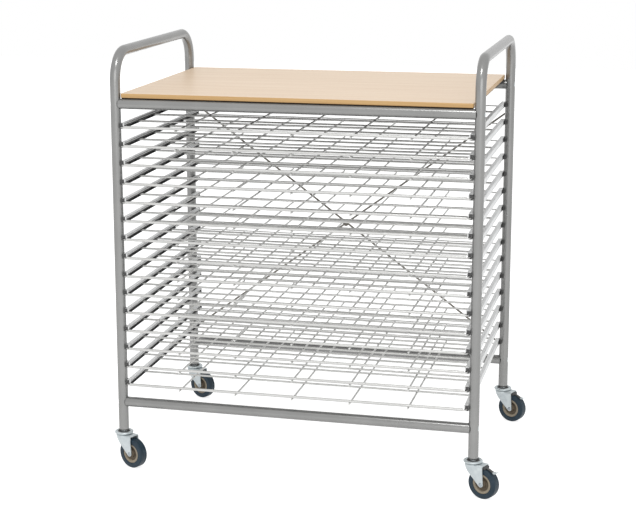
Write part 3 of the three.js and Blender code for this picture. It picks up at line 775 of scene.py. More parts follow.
@dataclass
class SideHoop(SubAssembly):
    """One bent tube: two legs and the handle bar, with a pressed seat for every rail screw."""

    side: Side
    leg_x: float = 445.0
    half_depth: float = 295.0
    radius: float = 12.6
    wall: float = 1.5
    foot_z: float = 96.0
    handle_z: float = 1049.6
    bend_radius: float = 70.0
    rail_heights: tuple[float, float] = (168.0, 926.0)
    seat_radius: float = 9.0
    seat_depth: float = 2.0
    sides: int = 48
    bend_steps: int = 16
    seat_step: float = 1.2

    def _leg_heights(self) -> list[float]:
        """Give the heights of the rings up a leg, close together at the screw seats."""
        top = self.handle_z - self.bend_radius
        heights = {self.foot_z, top}
        for rail in self.rail_heights:
            count = math.ceil(self.seat_radius / self.seat_step)
            heights |= {rail + i * self.seat_step for i in range(-count, count + 1)}
        return sorted(heights)

    def _stations(self) -> list[tuple[Vector, Vector]]:
        """Give the centre of every ring and the direction away from the middle of the hoop."""
        x = self.side.value * self.leg_x
        bend_z = self.handle_z - self.bend_radius
        bend_y = self.half_depth - self.bend_radius
        rising = [(Vector((x, -self.half_depth, z)), Vector((0, -1, 0)))
                  for z in self._leg_heights()[:-1]]
        bend = []
        for i in range(self.bend_steps + 1):
            angle = math.pi - 0.5 * math.pi * i / self.bend_steps
            out = Vector((0, math.cos(angle), math.sin(angle)))
            bend.append((Vector((x, -bend_y, bend_z)) + self.bend_radius * out, out))
        first = rising + bend
        mirror = Vector((1, -1, 1))
        return first + [(centre * mirror, out * mirror) for centre, out in reversed(first)]

    def _ring(self, centre: Vector, out: Vector, radius: float) -> list[Vector]:
        """Give one ring of the tube with the screw seats pressed in."""
        outer = Vector((self.side.value, 0, 0))
        points = []
        for i in range(self.sides):
            angle = FULL_TURN * i / self.sides
            turn = min(angle, FULL_TURN - angle)
            pressed = 0.0
            if abs(out.z) < 1e-6:
                for rail in self.rail_heights:
                    reach = math.hypot(radius * turn, centre.z - rail) / self.seat_radius
                    pressed += self.seat_depth * max(0.0, 1 - reach ** 2) ** 2
            spread = radius - pressed
            points.append(centre + spread * (math.cos(angle) * outer + math.sin(angle) * out))
        return points

    def build(self) -> None:
        """Build the tube and its screws."""
        name = self.side.name.lower()
        stations = self._stations()
        outside = [self._ring(centre, out, self.radius) for centre, out in stations]
        inside = [self._ring(centre, out, self.radius - self.wall) for centre, out in stations]
        tube = Shape().skin(outside + inside[::-1], wrap=True).piece(f"{name}_hoop_tube")
        self.dress(tube, POWDER_COAT, Slot.TUBE, nodes=[f"{name}_side_frame"])
        self._add_screws(name)

    def _add_screws(self, name: str) -> None:
        """Add the screws that hold the rails."""
        seat = self.side.value * (self.leg_x + self.radius - self.seat_depth)
        sign = self.side.value
        profile = [(0.0, -3.0 * sign), (2.5, -3.0 * sign), (4.6, -0.2 * sign), (4.8, 0.4 * sign),
                   (4.4, 1.0 * sign), (2.6, 1.5 * sign), (2.1, 0.7 * sign), (0.0, 0.6 * sign)]
        unit = Shape().turned(profile, Axis.X, 24,
                              Vector((seat, -self.half_depth, self.rail_heights[0])))
        screws = unit.piece(f"{name}_rail_screws")
        apply_tree(screws, COPIES, {
            "Count": 2, "Step": (0.0, 2 * self.half_depth * MM, 0.0),
            "Rows": 2, "Row Step": (0.0, 0.0, (self.rail_heights[1] - self.rail_heights[0]) * MM),
            "Finish": ZINC.material()})
        bake(screws)
        self.dress(screws, ZINC, Slot.ZINC)


@dataclass
class CrossRail(SubAssembly):
    """A straight tube between two legs with a black saddle at each end, which paints the shade in the
    joint with the leg.
    """

    end: End
    level: str
    height: float
    leg_x: float = 445.0
    half_depth: float = 295.0
    leg_radius: float = 12.7
    setback: float = 8.0
    radius: float = 12.5
    wall: float = 1.5
    saddle_thickness: float = 1.0
    saddle_radius: float = 12.2
    sides: int = 48

    def _loop(self, sign: int, radius: float, gap: float) -> list[Vector]:
        """Give the end line of a tube that fits the leg.

        Args:
            sign: Which leg, as the sign of X.
            radius: Radius of the tube.
            gap: Distance from the leg.

        Returns:
            Points around the tube.
        """
        points = []
        for i in range(self.sides):
            angle = FULL_TURN * i / self.sides
            y = radius * math.cos(angle)
            round_leg = math.sqrt(max((self.leg_radius + gap) ** 2 - y ** 2, 0.0))
            x = self.leg_x - max(self.setback + gap, round_leg)
            points.append(Vector((sign * x, self.end.value * self.half_depth + y,
                                  self.height + radius * math.sin(angle))))
        return points

    def build(self) -> None:
        """Build the tube and the black rings of painted shade at its ends."""
        name = f"{self.end.name.lower()}_{self.level}_rail"
        gap = self.saddle_thickness
        inner = self.radius - self.wall
        tube = Shape().skin([
            self._loop(-1, self.radius, gap), self._loop(1, self.radius, gap),
            self._loop(1, inner, gap), self._loop(-1, inner, gap)], wrap=True)
        self.dress(tube.piece(f"{name}_tube"), POWDER_COAT, Slot.TUBE, nodes=[name])
        # Black rings between rail and leg: painted shade for the gap of the joint.
        joint_shade_rings = Shape()
        for sign in (-1, 1):
            joint_shade_rings.skin([
                self._loop(sign, self.saddle_radius, 0.0),
                self._loop(sign, self.saddle_radius, gap - 0.05),
                self._loop(sign, inner - 0.1, gap - 0.05),
                self._loop(sign, inner - 0.1, 0.0)], wrap=True)
        self.dress(joint_shade_rings.piece(f"{name}_saddles"), BLACK_PLASTIC, Slot.PLASTIC)


@dataclass
class BoardTop(SubAssembly):
    """Panel with a glued edge band lying on the top rails, over a dark sheet that paints the shade
    between the board and the rails.
    """

    half_length: float = 430.0
    half_depth: float = 300.0
    corner: float = 3.0
    bottom: float = 941.2
    top: float = 951.567
    # Bottom of the dark sheet of painted shade under the board.
    shade_sheet: float = 938.6
    shade_sheet_inset: float = 1.6
    band: float = 1.0
    edge: float = 0.6
    corner_steps: int = 6

    def _loop(self, inset: float, z: float) -> list[Vector]:
        """Give the outline of the board at an inset and a height."""
        outline = rounded_rectangle(self.half_length - inset, self.half_depth - inset,
                                    self.corner - inset, self.corner_steps)
        return [Vector((x, y, z)) for x, y in outline]

    def build(self) -> None:
        """Build the panel, the band and the dark sheet of painted shade beneath."""
        inset = self.band + 0.02
        panel = Shape().skin([self._loop(inset, self.bottom), self._loop(inset, self.top)])
        self.dress(panel.piece("board_panel"), BOARD_FACE, Slot.BOARD, nodes=["board_top"])
        soft = 0.3 * self.edge
        rows = [(self.band, self.bottom), (self.edge, self.bottom), (soft, self.bottom + soft),
                (0.0, self.bottom + self.edge), (0.0, self.top - self.edge),
                (soft, self.top - soft), (self.edge, self.top), (self.band, self.top)]
        band = Shape().skin([self._loop(inset, z) for inset, z in rows], wrap=True)
        self.dress(band.piece("board_edge_band"), BOARD_EDGE, Slot.BOARD, sharp=60)
        # Dark sheet under the board: painted shade where the board meets the rails.
        inset = self.shade_sheet_inset
        shade_sheet = Shape().skin([self._loop(inset, self.shade_sheet),
                                self._loop(inset, self.bottom - 0.02)])
        self.dress(shade_sheet.piece("board_painted_shade"), BOARD_PAINTED_SHADE, Slot.BOARD)


@dataclass
class RunnerBank(SubAssembly):
    """Fifteen lipped channels on one side, with their plastic glides and end clips."""

    side: Side
    count: int = 15
    top_z: float = 874.0
    pitch: float = 46.6
    inner_x: float = 421.6
    outer_x: float = 432.2
    crown: float = 5.5
    floor: float = -8.0
    lip: float = 3.8
    shoulder: float = 1.6
    bead: Pair = (0.4, 2.7)
    sheet: float = 1.1
    front_end: float = -303.0
    rear_end: float = 299.0
    stop: float = 283.0
    slot_top: float = -2.2
    slot_floor: float = -6.2
    cap_inner_x: float = 424.3
    mouth_x: float = 430.6
    mouth_top: float = -1.8
    cap: float = 1.6
    leg_x: float = 445.0
    leg_y: float = 295.0
    leg_radius: float = 12.65
    saddle_radius: float = 16.6
    saddle_angle: float = 52.0
    pad: float = 30.0
    pad_thickness: float = 1.2

    def _roof(self) -> list[Pair]:
        """Give the outside from the foot of the web over the roof to the lip."""
        radius = self.shoulder
        return ([(self.outer_x, self.floor)]
                + arc((self.outer_x - radius, self.crown - radius), radius, 0, 90, 6)
                + arc((self.inner_x + radius, self.crown - radius), radius, 90, 180, 6)
                + [(self.inner_x, self.lip)])

    def _mirrored(self, outline: Sequence[Pair]) -> list[Pair]:
        """Place an outline of the right side on this side."""
        return [(self.side.value * x, y) for x, y in outline]

    def _row(self, unit: bpy.types.Object, finish: Finish, slot: Slot) -> None:
        """Repeat the topmost piece down the bank."""
        apply_tree(unit, COPIES, {
            "Count": self.count, "Step": (0.0, 0.0, -self.pitch * MM),
            "Rows": 1, "Row Step": (0.0, 0.0, 0.0), "Finish": finish.material()})
        bake(unit)
        self.dress(unit, finish, slot)

    def _raise(self) -> Matrix:
        """Lift a piece to the level of the topmost runner."""
        return Matrix.Translation((0, 0, self.top_z))

    def build(self) -> None:
        """Build the runners, the glides and the clips."""
        name = self.side.name.lower()
        lip_face = self.inner_x + self.sheet + 0.05
        outside = [(lip_face, self.floor)] + self._roof()
        inside = offset_path(outside, self.sheet)
        section = self._mirrored(outside + inside[::-1])
        runner = Shape().prism(section, self.front_end, self.rear_end, Axis.Y)
        runner.prism(self._mirrored(self._bead_outline()), self.front_end, self.rear_end, Axis.Y)
        runner.prism(self._mirrored(self._flap_outline()), self.front_end - self.cap,
                     self.front_end - 0.02, Axis.Y)
        self._row(runner.piece(f"{name}_runners", self._raise()), RUNNER_COAT, Slot.TUBE)
        glide = Shape()
        for outline in self._glide_outlines(lip_face):
            glide.prism(self._mirrored(outline), self.front_end, self.stop, Axis.Y)
        self._row(glide.piece(f"{name}_glides", self._raise()), BLACK_PLASTIC, Slot.PLASTIC)
        for end in End:
            clip = self._clip(end, f"{name}_{end.name.lower()}_clips")
            self._row(clip, BLACK_PLASTIC, Slot.PLASTIC)

    def _bead_outline(self) -> list[Pair]:
        """Give the rolled bead that stiffens the lip."""
        low, high = self.bead
        face, back, edge = self.inner_x, self.inner_x + 0.9, 0.4
        return [(face + edge, low), (back, low), (back, high), (face + edge, high),
                (face, high - edge), (face, low + edge)]

    def _flap_outline(self) -> list[Pair]:
        """Give the flap that closes the front end above the slot, beside the clip."""
        edge = self.cap_inner_x - 0.05
        centre = (self.inner_x + self.shoulder, self.crown - self.shoulder)
        return ([(self.inner_x, self.mouth_top), (edge, self.mouth_top), (edge, self.crown)]
                + arc(centre, self.shoulder, 90, 180, 6))

    def _glide_outlines(self, lip_face: float) -> list[list[Pair]]:
        """Give the two plastic strips that line a runner and narrow its slot."""
        face = self.inner_x + 0.05
        roof = self.crown - self.sheet - 0.6
        floor = self.floor + self.sheet + 0.05
        back = self.outer_x - self.sheet - 0.05
        low, high = self.bead
        seat = self.inner_x + 0.95
        upper = [(seat, self.lip - 0.03), (seat, low - 0.05), (face, low - 0.05),
                 (face, self.slot_top), (lip_face + 0.7, self.slot_top), (lip_face + 0.7, roof),
                 (lip_face, roof), (lip_face, self.lip - 0.03)]
        lower = [(face, self.slot_floor), (back - 0.5, self.slot_floor), (back - 0.5, roof),
                 (back, roof), (back, floor), (lip_face - 0.03, floor),
                 (lip_face - 0.03, self.floor + 0.1), (face, self.floor + 0.1)]
        return [upper, lower]

    def _clip(self, end: End, name: str) -> bpy.types.Object:
        """Build one end clip: a cap on the runner's end and a saddle that hugs the leg.

        Args:
            end: Front or rear of the runner.
            name: Name of the piece.

        Returns:
            The clip of the topmost runner.
        """
        clip = Shape()
        if end is End.FRONT:
            outer = self.outer_x - self.shoulder
            outline = ([(self.cap_inner_x, self.floor), (self.outer_x, self.floor)]
                       + arc((outer, self.crown - self.shoulder), self.shoulder, 0, 90, 6)
                       + [(self.cap_inner_x, self.crown), (self.cap_inner_x, self.mouth_top),
                          (self.mouth_x, self.mouth_top), (self.mouth_x, self.slot_floor),
                          (self.cap_inner_x, self.slot_floor)])
            clip.prism(self._mirrored(outline), self.front_end - self.cap,
                       self.front_end - 0.02, Axis.Y)
        else:
            outline = [(self.inner_x, self.floor)] + self._roof()
            clip.prism(self._mirrored(outline), self.rear_end + 0.02, self.rear_end + self.cap,
                       Axis.Y)
        clip.prism(self._saddle(end), self.floor + 0.5, self.crown - 2.0, Axis.Z)
        return clip.piece(name, self._raise())

    def _saddle(self, end: End) -> list[Pair]:
        """Give the plan of the saddle between the web of a runner and the leg."""
        web = self.leg_x - self.outer_x - 0.03
        start = math.degrees(math.acos(web / self.saddle_radius))
        foot = math.degrees(math.acos(min(web / self.leg_radius, 1.0)))
        hug = (arc((0, 0), self.saddle_radius, start, self.saddle_angle, 6)
               + arc((0, 0), self.leg_radius, self.saddle_angle, foot, 10)
               + [(web, 0.0), (web, self.pad), (web - self.pad_thickness, self.pad)])
        return [(self.side.value * (self.leg_x - x), end.value * (self.leg_y - y))
                for x, y in hug]


@dataclass
class WireShelves(SubAssembly):
    """Welded wire shelves that slide in the runners."""

    count: int = 15
    top_z: float = 874.0
    pitch: float = 46.6
    wire_z: float = -4.2
    front_y: float = -311.0
    rear_y: float = 280.0
    side_x: float = 428.6
    loop_z: float = -4.5
    loop_diameter: float = 3.3
    loop_corner: float = 8.0
    front_half: float = 420.0
    front_z: float = -3.2
    front_diameter: float = 7.0
    cross_diameter: float = 5.2
    neck_diameter: float = 3.75
    long_diameter: float = 4.6
    cross_count: int = 4
    long_count: int = 5
    long_spacing: float = 144.0
    long_front: float = -317.0
    long_rear: float = 282.5
    sides: int = 12

    def _rows(self) -> list[dict]:
        """Give the rows of straight wires on the loop."""
        cross_gap = (self.rear_y - self.front_y) / (self.cross_count + 1)
        long_z = self.wire_z - 0.48 * (self.cross_diameter + self.long_diameter)
        first_long = -0.5 * (self.long_count - 1) * self.long_spacing
        return [
            self._row((-self.front_half, self.front_y, self.front_z),
                      (2 * self.front_half, 0, 0), self.front_diameter),
            self._row((-self.side_x, self.front_y + cross_gap, self.wire_z),
                      (2 * self.side_x, 0, 0), self.neck_diameter,
                      self.cross_count, (0, cross_gap, 0)),
            self._row((-self.front_half, self.front_y + cross_gap, self.wire_z),
                      (2 * self.front_half, 0, 0), self.cross_diameter,
                      self.cross_count, (0, cross_gap, 0)),
            self._row((first_long, self.long_front, long_z),
                      (0, self.long_rear - self.long_front, 0), self.long_diameter,
                      self.long_count, (self.long_spacing, 0, 0)),
        ]

    def _loop(self) -> dict:
        """Give the inputs for the loop round the shelf, in metres."""
        return {"Centre": (0.0, 0.5 * MM * (self.front_y + self.rear_y), MM * self.loop_z),
                "Width": 2 * MM * self.side_x, "Depth": MM * (self.rear_y - self.front_y),
                "Corner": MM * self.loop_corner, "Diameter": MM * self.loop_diameter,
                "Sides": self.sides, "Finish": WIRE_COAT.material()}

    def _row(self, start: Sequence[float], along: Sequence[float], diameter: float,
             count: int = 1, step: Sequence[float] = (0, 0, 0)) -> dict:
        """Give the inputs for one row of wires.

        Args:
            start: Where the first wire starts.
            along: From the start of a wire to its end.
            diameter: Thickness of the wires.
            count: Number of wires.
            step: From one wire to the next.

        Returns:
            Values for the inputs of the tree, in metres.
        """
        return {"Start": tuple(MM * v for v in start), "Along": tuple(MM * v for v in along),
                "Diameter": MM * diameter, "Count": count, "Step": tuple(MM * v for v in step),
                "Sides": self.sides, "Finish": WIRE_COAT.material()}

    def build(self) -> None:
        """Build one shelf and set its copies at every level."""
        first = bpy.data.objects.new("wires", bpy.data.meshes.new("wires"))
        bpy.context.scene.collection.objects.link(first)
        apply_tree(first, WIRE_LOOP, self._loop())
        for row in self._rows():
            apply_tree(first, WIRE_ROW, row)
        bake(first)
        for i in range(self.count):
            number = f"{i + 1:02d}"
            name = f"shelf_{number}_wires"
            mesh = first.data.copy()
            mesh.name = name
            mesh.transform(Matrix.Translation((0, 0, (self.top_z - i * self.pitch) * MM)))
            shelf = bpy.data.objects.new(name, mesh)
            bpy.context.scene.collection.objects.link(shelf)
            self.dress(shelf, WIRE_COAT, Slot.WIRE, f"shelf_{number}", [f"wire_shelf_{number}"])
        used = first.data
        bpy.data.objects.remove(first)
        bpy.data.meshes.remove(used)


@dataclass
class BackBrace(SubAssembly):
    """Two crossed rods behind the rack, clamped together in the middle."""

    leg_x: float = 445.0
    rear_y: float = 310.6
    front_y: float = 304.6
    top_z: float = 856.0
    bottom_z: float = 200.0
    joggle: Pair = (428.0, 408.0)
    radius: float = 2.5
    clamp_y: Pair = (299.0, 315.0)
    clamp_radius: float = 8.0

    def _height(self, x: float) -> float:
        """Give the height of the rod that falls to the right."""
        fall = (self.leg_x - x) / (2 * self.leg_x)
        return self.bottom_z + fall * (self.top_z - self.bottom_z)

    def build(self) -> None:
        """Build the rods, the clamp and the screws."""
        ends = (-self.leg_x, self.leg_x)
        across = Vector((0, 1, 0))
        straight = [Vector((x, self.rear_y, self._height(x))) for x in ends]
        rod = Shape().rod(straight, self.radius, 20, across).piece("brace_rod_straight_wire")
        self.dress(rod, BRACE_COAT, Slot.BRACE, nodes=["brace_rod_straight"])
        outer, inner = self.joggle
        path = [Vector((x, y, self._height(-x))) for x, y in self._joggled(outer, inner)]
        rod = Shape().rod(path, self.radius, 20, across).piece("brace_rod_joggled_wire")
        self.dress(rod, BRACE_COAT, Slot.BRACE, nodes=["brace_rod_joggled"])
        self._add_clamp()
        self._add_screws()

    def _joggled(self, outer: float, inner: float) -> list[Pair]:
        """Give the plan of the rod that passes in front of the other, with smooth steps."""
        steps = 8
        ease = []
        for i in range(steps + 1):
            part = i / steps
            blend = part * part * (3 - 2 * part)
            ease.append((outer + part * (inner - outer),
                         self.rear_y + blend * (self.front_y - self.rear_y)))
        right = [(self.leg_x, self.rear_y)] + ease
        return [(-x, y) for x, y in right] + right[::-1]

    def _add_clamp(self) -> None:
        """Add the round clamp with its screw."""
        near, far = self.clamp_y
        r = self.clamp_radius
        profile = [(0, near), (r - 1.2, near), (r, near + 1.2), (r, far - 3.2), (r - 1.2, far - 2),
                   (4.4, far - 2), (4.2, far - 0.6), (3.2, far), (1.6, far), (1.4, far - 0.9),
                   (0, far - 0.9)]
        middle = Vector((0, 0, 0.5 * (self.top_z + self.bottom_z)))
        clamp = Shape().turned(profile, Axis.Y, 32, middle)
        self.dress(clamp.piece("brace_clamp_block"), BRACE_COAT, Slot.BRACE, nodes=["brace_clamp"])

    def _add_screws(self) -> None:
        """Add the screws at the ends of the rods."""
        y = self.rear_y + self.radius - 1
        profile = [(0, -2), (3, -2), (4.6, 0), (4.6, 0.8), (3.6, 1.9), (1.8, 2.4), (1.5, 1.5),
                   (0, 1.5)]
        unit = Shape().turned(profile, Axis.Y, 24, Vector((-self.leg_x, y, self.bottom_z)))
        screws = unit.piece("brace_screws")
        apply_tree(screws, COPIES, {
            "Count": 2, "Step": (2 * self.leg_x * MM, 0.0, 0.0),
            "Rows": 2, "Row Step": (0.0, 0.0, (self.top_z - self.bottom_z) * MM),
            "Finish": ZINC.material()})
        bake(screws)
        self.dress(screws, ZINC, Slot.ZINC)


@dataclass
class Castor(SubAssembly):
    """Swivel castor under one leg, with a plug in the foot and a brake on the right side."""

    side: Side
    end: End
    leg_x: float = 445.0
    leg_y: float = 295.0
    turn: float = -24.0
    trail: float = 31.0
    wheel_radius: float = 37.5
    tyre_half: float = 11.5
    tyre_bore: float = 24.6
    fork_half: float = 16.0
    fork_wall: float = 2.5
    fork_top: float = 84.0
    fork_bend: float = 5.0
    fork_dome: float = 21.3
    fork_waist: float = 62.0
    fork_rear: float = 34.0
    fork_skirt: float = 10.0
    fork_tip: float = 6.5
    race_radius: float = 23.5
    pedal_pivot: Pair = (33.0, 79.3)
    wheel_steps: int = 72

    @property
    def corner(self) -> str:
        """Name of the corner."""
        return f"{self.end.name.lower()}_{self.side.name.lower()}"

    def _swivel(self) -> Matrix:
        """Place a piece about the swivel axis."""
        foot = Vector((self.side.value * self.leg_x, self.end.value * self.leg_y, 0))
        return Matrix.Translation(foot) @ Matrix.Rotation(math.radians(self.turn), 4, "Z")

    def _axle(self) -> Matrix:
        """Place a piece about the axle."""
        return self._swivel() @ Matrix.Translation((self.trail, 0, self.wheel_radius))

    def build(self) -> None:
        """Build the castor from the leg down."""
        self._add_head()
        self._add_fork()
        self._add_wheel()
        if self.side is Side.RIGHT:
            self._add_pedal()

    def _add_head(self) -> None:
        """Add the plug and the swivel head, which stay with the leg."""
        plug = [(5.9, 92.6), (11.6, 92.6), (12.5, 93.5), (12.5, 95.7), (10.8, 95.7),
                (10.8, 124.0), (5.9, 124.0)]
        piece = Shape().turned(plug, Axis.Z, 40, closed=True)
        self.dress(piece.piece(f"{self.corner}_plug", self._swivel()), BLACK_PLASTIC, Slot.PLASTIC,
                   nodes=[f"{self.corner}_leg_plug"])
        r = self.race_radius
        head = [(0, 78.8), (7.4, 78.8), (8.0, 79.4), (8.0, 81.2), (5.0, 81.2), (5.0, 84.4),
                (17.0, 84.4), (17.0, 86.4), (r - 1.2, 86.4), (r - 0.3, 85.9), (r, 86.6),
                (r, 88.0), (r - 0.5, 89.2), (r - 1.6, 90.0), (r - 3.4, 90.7), (r - 5.2, 90.8),
                (r - 6.6, 90.2), (r - 8.0, 88.6), (r - 10.0, 87.8), (9.4, 87.8), (8.8, 88.4),
                (8.8, 91.6), (8.2, 92.4), (5.0, 92.4), (5.0, 121.0), (4.4, 122.0), (0, 122.0)]
        piece = Shape().turned(head, Axis.Z, 56)
        self.dress(piece.piece(f"{self.corner}_race", self._swivel()), ZINC, Slot.ZINC,
                   nodes=[f"{self.corner}_swivel_head"])
        ring = [(8.9, 88.6), (15.0, 88.6), (15.6, 89.2), (15.2, 89.8), (8.9, 90.6)]
        piece = Shape().turned(ring, Axis.Z, 40, closed=True)
        self.dress(piece.piece(f"{self.corner}_dust_ring", self._swivel()), BLACK_PLASTIC,
                   Slot.PLASTIC)

    def _fork_outline(self) -> list[Pair]:
        """Give the fork from the side: wide under the race, round about the axle."""
        corner = Vector((-self.fork_half, self.fork_top - self.fork_skirt))
        axle = Vector((self.trail, self.wheel_radius))
        reach = corner - axle
        start = math.degrees(math.atan2(reach.y, reach.x)
                             + math.acos(self.fork_tip / reach.length))
        top = self.fork_top + 1
        front = -self.fork_dome - 1
        return ([(front, top), (front, corner.y), tuple(corner)]
                + arc(tuple(axle), self.fork_tip, start, 360, 16)
                + [(self.fork_rear, top)])

    def _fork_plan(self, z: float, inset: float, rear: float) -> list[Vector]:
        """Give the fork from above: a round dome in front that narrows down to two sides.

        Args:
            z: Height of the outline.
            inset: Distance inside the outer face.
            rear: Where the sides end.

        Returns:
            Points of the outline at that height.
        """
        rise = min(max((z - self.fork_waist) / (self.fork_top - self.fork_waist), 0.0), 1.0)
        half = self.fork_half - inset
        dome = self.fork_half + rise * (self.fork_dome - self.fork_half) - inset
        spread = math.degrees(math.asin(half / dome))
        round_front = arc((0, 0), dome, spread, 360 - spread, 28)
        return [Vector((x, y, z)) for x, y in [(rear, half)] + round_front + [(rear, -half)]]

    def _fork_shell(self, inset: float, rear: float) -> Shape:
        """Give the fork as a solid with a rounded top edge."""
        top = self.fork_top - inset
        bend = self.fork_bend - inset
        levels = [(0.0, 0.0), (self.fork_waist, 0.0), (0.5 * (self.fork_waist + top - bend), 0.0)]
        levels += [(top - bend + y, bend - x) for x, y in arc((0, 0), bend, 0, 90, 6)]
        return Shape().skin([self._fork_plan(z, inset + edge, rear - edge) for z, edge in levels])

    def _add_fork(self) -> None:
        """Add the pressed fork and the axle rivet, which swivel."""
        body = f"{self.corner}_castor"
        rear = 2 * self.wheel_radius
        fork = self._fork_shell(0.0, rear).piece(f"{self.corner}_fork_plate", self._swivel())
        hollow = self._fork_shell(self.fork_wall, rear + 20).piece("hollow", self._swivel())
        combine(fork, hollow, "DIFFERENCE")
        side = Shape().prism(self._fork_outline(), -40, 40, Axis.Y).piece("side", self._swivel())
        combine(fork, side, "INTERSECT")
        soften(fork, 0.4)
        self.dress(fork, ZINC, Slot.ZINC, body, [f"{self.corner}_fork"])
        rivet = [(0, 18.1), (2.0, 18.0), (3.6, 17.5), (4.6, 16.7), (4.8, 16.1), (4.0, 16.1)]
        mirrored = [(r, -h) for r, h in rivet[::-1]]
        piece = Shape().turned(rivet + mirrored, Axis.Y, 32)
        self.dress(piece.piece(f"{self.corner}_axle_rivet", self._axle()), RIVET, Slot.ZINC, body,
                   [f"{self.corner}_axle"])

    def _add_wheel(self) -> None:
        """Add the tyre and the rim, which spin."""
        body = f"{self.corner}_wheel"
        radius, half = self.wheel_radius, self.tyre_half
        shoulder = 3.5
        half_tread = [(radius, 0.0), (radius, 3.4), (radius - 0.5, 3.7), (radius - 0.5, 4.3),
                      (radius, 4.6)]
        half_tread += [(x, y) for x, y in
                       arc((radius - shoulder, half - shoulder), shoulder, 0, 90, 6)]
        half_tread += [(27.2, half), (26.4, half - 0.8), (self.tyre_bore, half - 0.8)]
        profile = [(r, -h) for r, h in half_tread[:0:-1]] + half_tread
        tyre = Shape().turned(profile, Axis.Y, self.wheel_steps, closed=True)
        self.dress(tyre.piece(f"{self.corner}_tyre_ring", self._axle()), TYRE_RUBBER, Slot.TYRE,
                   body, [f"{self.corner}_tyre"])
        half_rim = [(24.5, 0.0), (24.5, 9.2), (24.1, 10.2), (23.2, 10.6), (20.4, 10.6), (19.0, 10.0),
                    (18.0, 8.4), (17.7, 6.0), (17.7, 0.0)]
        profile = [(r, -h) for r, h in half_rim[-2:0:-1]] + half_rim
        rim = Shape().turned(profile, Axis.Y, self.wheel_steps, closed=True)
        self.dress(rim.piece(f"{self.corner}_rim_ring", self._axle()), RIM_PLASTIC, Slot.RIM,
                   body, [f"{self.corner}_rim"])
        # The recessed core is coloured darker than the rim: painted shade.
        half_core = [(17.65, 0.0), (17.65, 5.0), (16.8, 5.6), (11.4, 4.4), (10.2, 5.2), (9.2, 10.6),
                     (8.4, 11.6), (5.2, 11.8), (4.7, 11.2), (4.7, 0.0)]
        profile = [(r, -h) for r, h in half_core[-2:0:-1]] + half_core
        core = Shape().turned(profile, Axis.Y, self.wheel_steps, closed=True)
        self.dress(core.piece(f"{self.corner}_wheel_core", self._axle()), RIM_RECESS_SHADE, Slot.RIM,
                   body)

    def _plate(self, path: Sequence[Pair], halves: Sequence[float]) -> Shape:
        """Give a bent plate with broken edges.

        Args:
            path: Middle of the plate from the side, from front to rear.
            halves: Half of the width at each point of the path.

        Returns:
            The plate about the swivel axis.
        """
        thick, edge = 0.9, 0.35
        loops = []
        for (x, z), half in zip(path, halves):
            loops.append([Vector((x, y, z + h)) for y, h in (
                (-half, edge - thick), (edge - half, -thick), (half - edge, -thick),
                (half, edge - thick), (half, thick - edge), (half - edge, thick),
                (edge - half, thick), (-half, thick - edge))])
        return Shape().skin(loops)

    def _add_pedal(self) -> None:
        """Add the foot brake: a black shoe on a pivot barrel, an arm coloured black as painted shade
        under the fork, and a zinc plate with a tip.
        """
        body = f"{self.corner}_brake"
        x, z = self.pedal_pivot
        shoe = [(x - 1.4, z - 3.4), (x + 5.6, z - 4.4), (x + 6.4, z - 3.8), (x + 6.4, z - 0.8),
                (x + 5.6, z), (x + 2.0, z + 1.2), (x - 1.4, z + 1.2)]
        block = Shape().prism(shoe, -10.5, 10.5, Axis.Y)
        block.turned([(0, -13.1), (1.7, -13.1), (2.0, -12.8), (2.0, 12.8), (1.7, 13.1), (0, 13.1)],
                     Axis.Y, 24, Vector((x, 0, z)))
        lever = [(x + 5.6, 77.0), (44.0, 75.2), (50.0, 72.6), (54.0, 70.9), (58.0, 69.4)]
        block_piece = block.piece(f"{self.corner}_brake_shoe", self._swivel())
        self.dress(block_piece, BLACK_PLASTIC, Slot.PLASTIC, body, [f"{self.corner}_brake_pedal"])
        # The arm is coloured black: painted shade where it runs under the fork top.
        arm = self._plate(lever, [4.0] * len(lever)).piece(f"{self.corner}_brake_arm", self._swivel())
        self.dress(arm, BLACK_PLASTIC, Slot.PLASTIC, body)
        tip = [(57.2, 69.9), (59.5, 68.9), (61.6, 68.6), (63.4, 69.0), (65.5, 70.1), (68.0, 71.7),
               (69.8, 72.9), (70.6, 73.5)]
        plate = self._plate(tip, [5.4, 6.4, 7.0, 7.2, 7.0, 6.2, 4.8, 3.2])
        self.dress(plate.piece(f"{self.corner}_pedal_tip", self._swivel()), ZINC, Slot.ZINC, body)


# ------------------------------------------------------------------------------- the studio


